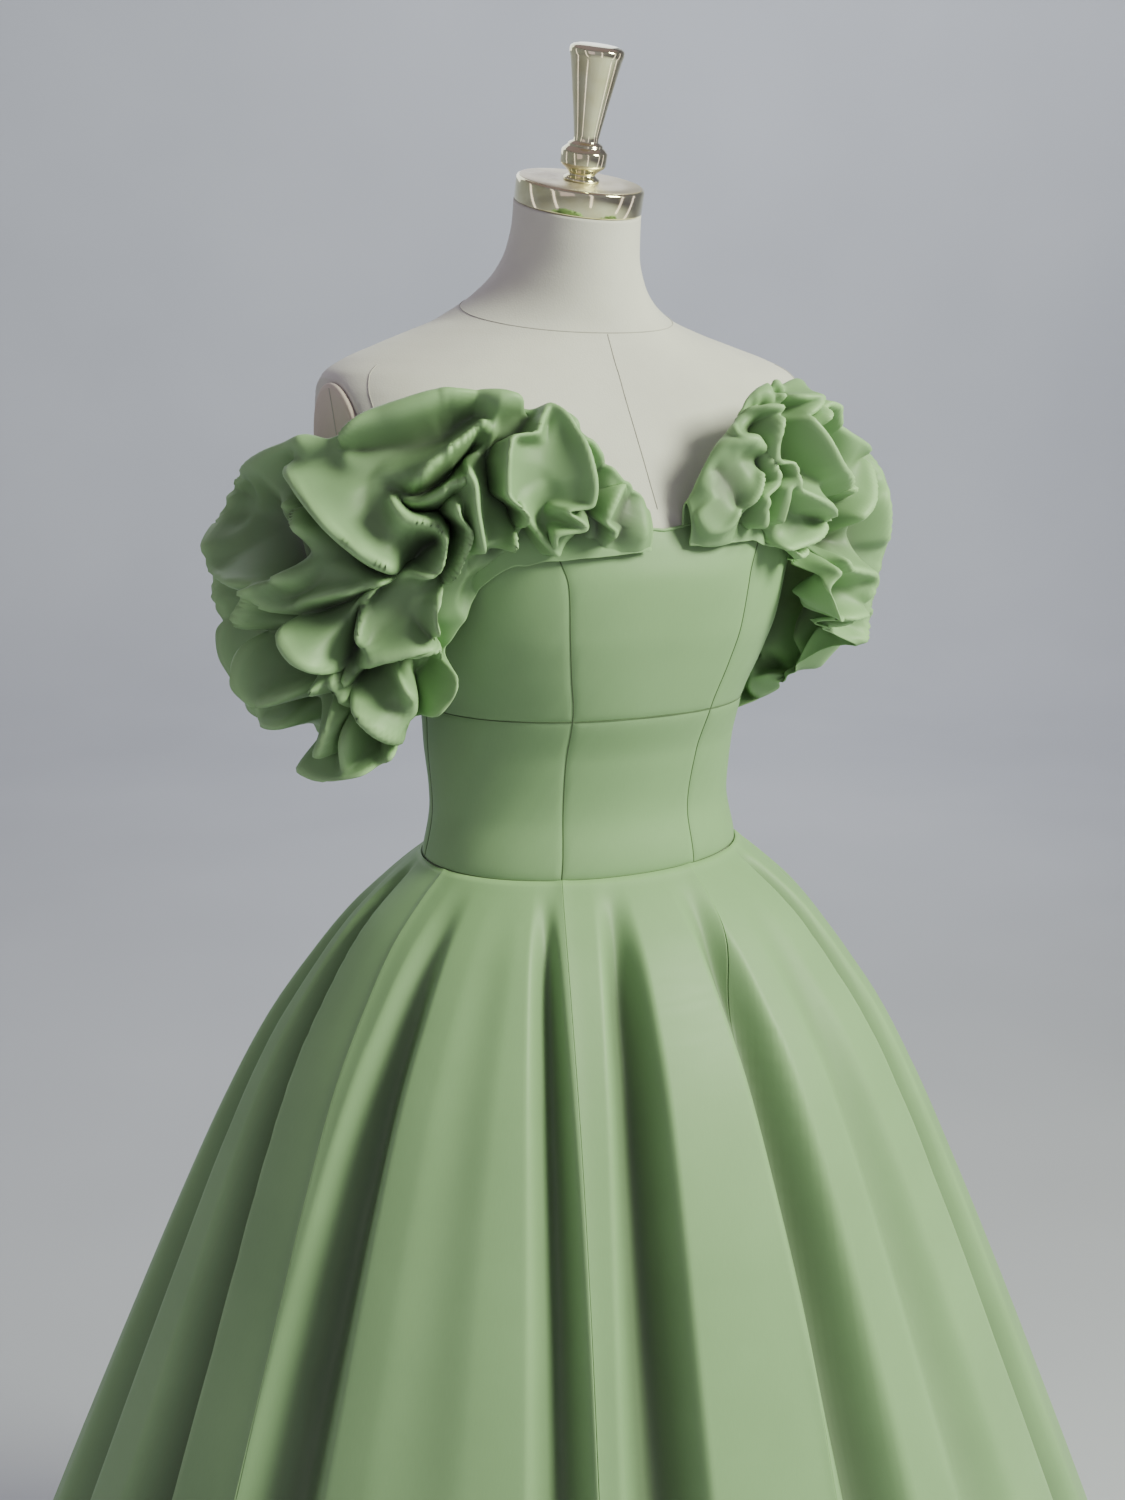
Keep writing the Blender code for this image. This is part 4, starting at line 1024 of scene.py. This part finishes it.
def ruffleBase(along, across, side):
    # up from the seam, over the crest and down to the edge that is tucked under
    rail = [np.interp(along, seamShare, seamPlaces[:, k]) for k in range(3)]
    names = ("facing", "crest" + side, "hem" + side, "lean", "belly", "tuck")
    facing, crest, hem, lean, belly, tuck = (fromTable(ruffle, name, along) for name in names)
    if side == "Left":
        aroundArm = np.clip(along / 0.3, 0, 1) * np.clip((0.8 - along) / 0.15, 0, 1)
        belly = belly * (1 - ruffle["leftBellyLess"] * aroundArm)
    rise, top = lean + ruffle["riseOut"] * belly, lean + ruffle["crestOut"] * belly
    outs = np.stack([0 * belly, rise, top, lean + belly, lean + tuck])
    ups = np.stack([rail[2], rail[2] + ruffle["riseUp"] * (crest - rail[2]), crest, 0.5 * (crest + hem), hem])
    out, up = section(outs, across), section(ups, across)
    turn = np.radians(facing)
    x, y = clearOfBody(rail[0] - out * np.sin(turn), rail[1] - out * np.cos(turn), up, across)
    return np.stack([x if side == "Right" else -x, y, up], -1)


def ruffleOut(along, across, side):
    def difference(da, db):
        ahead = ruffleBase(np.clip(along + da, 0, 1), np.clip(across + db, 0, 1), side)
        return ahead - ruffleBase(np.clip(along - da, 0, 1), np.clip(across - db, 0, 1), side)

    out = unit(np.cross(difference(0.02, 0), difference(0, 0.01)))
    return out if side == "Right" else -out


def runsOf(folds, side):
    # short straight runs along each fold, laid on the base surface
    starts, ends, values = [], [], []
    for fold in folds:
        places = np.array(fold[-1]) / (1000, 100)
        curve = np.clip(through(places, np.linspace(0, len(places) - 1, 4 * len(places) - 3)), 0.001, 0.999)
        points = ruffleBase(curve[:, 0], curve[:, 1], side)
        starts.append(points[:-1])
        ends.append(points[1:])
        values += [fold[:-1]] * (len(points) - 1)
    return np.vstack(starts), np.vstack(ends), np.array(values).T


def distances(points, starts, ends):
    # from every point to every run, a block of points at a time
    run = ends - starts
    size = np.maximum((run * run).sum(-1), 1e-12)
    blocks = []
    for block in np.array_split(points, 24):
        offset = block[:, None] - starts[None]
        share = np.clip((offset * run[None]).sum(-1) / size[None], 0, 1)
        blocks.append(np.linalg.norm(offset - share[..., None] * run[None], axis=-1))
    return np.vstack(blocks)


def weighted(away, heights):
    # the height of the folds near by, the nearest counting most
    weight = 1 / (away + ruffle["crispness"]) ** 4
    return (weight * heights).sum(1) / weight.sum(1)


def neighbours(values):
    return values[:-2, 1:-1] + values[2:, 1:-1] + values[1:-1, :-2] + values[1:-1, 2:]


def evened(points):
    # a light smoothing, and a stronger one along the hem
    for _ in range(3):
        points[1:-1, 1:-1] = 0.5 * points[1:-1, 1:-1] + 0.125 * neighbours(points)
        points[-1, 1:-1] = 0.4 * points[-1, 1:-1] + 0.3 * (points[-1, :-2] + points[-1, 2:])
    return points


def ruffleShape(side):
    # each point rises from the nearest hollow to the nearest ridge by its share of the way
    # between them, raised to a power, so that the panels hang hollow between crisp ridges
    (places, counts), (levels, rungs) = ruffle["columnsTo"], ruffle["rowsTo"]
    along, across = np.meshgrid(
        smooth(np.array(counts), np.array(places), np.arange(counts[-1] + 1)),
        smooth(np.array(rungs), np.array(levels), np.arange(rungs[-1] + 1)),
    )
    base = ruffleBase(along, across, side)
    out = ruffleOut(np.clip(along, 0.0006, 0.9994), np.clip(across, 0.0006, 0.9994), side)
    ridgeStart, ridgeEnd, (ridgeHeight, ridgeHang) = runsOf(ridges[side], side)
    hollowStart, hollowEnd, (hollowHeight,) = runsOf(hollows[side], side)
    toRidge = distances(base.reshape(-1, 3), ridgeStart, ridgeEnd)
    toHollow = distances(base.reshape(-1, 3), hollowStart, hollowEnd)
    nearRidge, nearHollow = toRidge.min(1), toHollow.min(1)
    share = nearHollow / (nearHollow + nearRidge)
    top = weighted(toRidge, ridgeHeight)
    low = weighted(toHollow, hollowHeight) - ruffle["sink"] * np.interp(along.ravel(), *ruffle["sinkAlong"])
    height = low + (top - low) * share ** ruffle["hollowPower"]

    fade = step(across, *ruffle["setIn"]) * (1 - ruffle["easeBy"] * step(across, *ruffle["ease"]))
    fade = fade * step(along, *ruffle["endFade"]) * step(1 - along, *ruffle["endFade"])
    puff = fromTable(ruffle, "puff", along) * ruffle["puffGrowth"]
    if side == "Left":
        puff = puff * (1 - ruffle["leftPuffLess"] * step(along, 0.22, 0.42) * step(1 - along, 0.10, 0.30))
    points = base + out * (puff * fade * height.reshape(along.shape))[..., None]

    # ridges hang over sideways, most along their tops
    nearest = toRidge.argmin(1)
    sideways = np.cross(out.reshape(-1, 3), unit(ridgeEnd - ridgeStart)[nearest])
    down = unit(np.gradient(base, axis=0)).reshape(-1, 3)
    backwards = unit(np.gradient(base, axis=1)).reshape(-1, 3)
    sideways = sideways * np.sign((sideways * (down + 0.25 * backwards)).sum(-1, keepdims=True))
    hang = ridgeHang[nearest] * ruffle["overhang"] * np.exp(-(nearRidge / ruffle["overhangReach"]) ** 2)
    drift = (sideways * hang[:, None]).reshape(base.shape)
    for _ in range(4):
        drift[1:-1, 1:-1] = neighbours(drift) / 4
    points = evened(points + drift * fade[..., None])

    mirror = 1 if side == "Right" else -1
    x, y = clearOfBody(points[..., 0] * mirror, points[..., 1], points[..., 2], across)
    # painted shade: the pockets between the ridges are darkened in the colour, less near the hem
    paintedPocketShade = ruffle["shade"] * (1 - share.reshape(along.shape)) ** ruffle["pocketPower"] * fade
    paintedPocketShade = paintedPocketShade * (1 - step(across, *ruffle["pocketsEnd"]))
    return np.stack([x * mirror, y, points[..., 2]], -1), paintedPocketShade


def makeRuffles():
    for side in ("Right", "Left"):
        points, paintedPocketShade = ruffleShape(side)
        if side == "Right":
            points, paintedPocketShade = points[:, ::-1], paintedPocketShade[:, ::-1]
        nodes = ["ruffle_" + part + "_" + side.lower() for part in ("front", "sleeve", "back")]
        name = "ruffle_cloth_" + side.lower()
        piece, rows, columns, area = makeCloth(name, points, ruffle["sheet"], nodes, paintedPocketShade)


makeRuffles()
print("ruffles made")

# Camera, light and room

camera = {
    "turn": 0.485,
    "distance": 1.40,
    "height": 1.436,
    "down": 0.226,
    "roll": 0.010,
    "focalPixels": 1866.0,
    "shiftPixels": 9.7,
    "pictureHeight": 1500,
    "sensorHeight": 36,
}
room = {
    # radius and height of the floor and of the wall that it sweeps up into
    "outline": ((0.02, 0.0), (4.8, 0.0), (5.6, 0.06), (6.2, 0.32), (6.5, 0.9), (6.6, 1.7), (6.6, 8.0)),
    "steps": 61,
    "around": 144,
    "underFeet": 0.0005,
    "paint": ((0.3, (0.54, 0.555, 0.61)), (0.7, (0.58, 0.595, 0.65))),
    "sky": (0.97, 0.77, 0.97, 1),
    "skyStrength": 0.26,
}
# Name, place, target, size, watts and colour
lights = (
    ("window", (1.6, -1.9, 2.8), (0, 0, 1.15), (0.9, 1.0), 162, (0.93, 1.0, 0.77)),
    ("fill", (-2.2, -1.9, 1.6), (0, 0, 1.0), (1.4, 1.6), 3, (1.0, 0.72, 0.95)),
    ("wall", (2.4, 2.6, 3.4), (2.2, 6.6, 1.5), (2.0, 2.0), 100, (0.94, 0.99, 1.0)),
    ("wall_front", (-1.2, -3.2, 3.4), (-1.6, -6.6, 1.6), (2.0, 2.0), 30, (1.0, 0.92, 1.0)),
    ("back", (0.2, 2.2, 2.6), (0, 0, 1.2), (2.4, 1.6), 18, (0.92, 0.95, 1.0)),
)
# Tall narrow lights around the dress, which give the metal its bright streaks
strips = {
    "turns": (("far_left", -2.15), ("left", -1.30), ("middle", -0.10), ("right", 0.95), ("far_right", 1.45)),
    "distance": 2.0,
    "height": 1.25,
    "size": (0.16, 2.3),
    "power": 1.8,
    "colour": (1.0, 0.87, 0.93),
}


def makeCamera():
    # turned about the dress, tipped down and rolled a little
    turn = -camera["turn"]
    place = (camera["distance"] * np.sin(turn), -camera["distance"] * np.cos(turn), camera["height"])
    tip = Matrix.Rotation(np.pi / 2 - camera["down"], 4, "X")
    aim = Matrix.Rotation(turn, 4, "Z") @ tip @ Matrix.Rotation(camera["roll"], 4, "Z")
    lens = bpy.data.cameras.new("view")
    lens.sensor_fit = "VERTICAL"
    lens.sensor_height = camera["sensorHeight"]
    lens.lens = camera["focalPixels"] / camera["pictureHeight"] * camera["sensorHeight"]
    lens.shift_x = -camera["shiftPixels"] / camera["pictureHeight"]
    lens.clip_end = 50
    holder = bpy.data.objects.new("view", lens)
    holder.matrix_world = Matrix.Translation(place) @ aim
    bpy.context.scene.collection.objects.link(holder)
    bpy.context.scene.camera = holder


def makeLight(name, place, target, size, power, colour):
    light = bpy.data.lights.new(name, "AREA")
    light.shape = "RECTANGLE"
    light.size, light.size_y = size
    light.energy = power
    light.color = colour
    holder = bpy.data.objects.new(name, light)
    holder.visible_camera = False
    holder.location = place
    holder.rotation_euler = (Vector(target) - Vector(place)).to_track_quat("-Z", "Y").to_euler()
    bpy.context.scene.collection.objects.link(holder)


def makeLights():
    for light in lights:
        makeLight(*light)
    level = (0, 0, strips["height"])
    for name, turn in strips["turns"]:
        place = np.array([np.sin(turn), -np.cos(turn), 0]) * strips["distance"] + level
        makeLight("strip_" + name, place, level, strips["size"], strips["power"], strips["colour"])


def makeRoom():
    # a pale round floor that sweeps up all around into a plain soft wall
    knots = np.array(room["outline"])
    at = np.linspace(0, len(knots) - 1, room["steps"])
    radius, height = (smooth(np.arange(len(knots)), knots[:, k], at)[:, None] for k in range(2))
    turn = np.linspace(0, 2 * np.pi, room["around"], endpoint=False)
    level = height + 0 * turn - room["underFeet"]
    points = np.stack([radius * np.cos(turn), radius * np.sin(turn), level], -1)
    faces = [tuple(face) for face in quads(len(at), len(turn), True)] + [tuple(range(len(turn)))[::-1]]
    shell = newMesh("room", points, faces)
    material, tree, shader = startMaterial("room_paint")
    cloud = pattern(tree, "Object", (1, 1, 1), Scale=1.3, Detail=2.0)
    tree.links.new(ramp(tree, cloud.outputs["Fac"], room["paint"]), shader.inputs["Base Color"])
    shader.inputs["Roughness"].default_value = 0.95
    shell.data.materials.append(material)
    world = bpy.data.worlds.new("daylight")
    bpy.context.scene.world = world
    world.use_nodes = True
    world.node_tree.nodes["Background"].inputs["Color"].default_value = room["sky"]
    world.node_tree.nodes["Background"].inputs["Strength"].default_value = room["skyStrength"]


makeCamera()
makeRoom()
makeLights()
print("camera, light and room made")
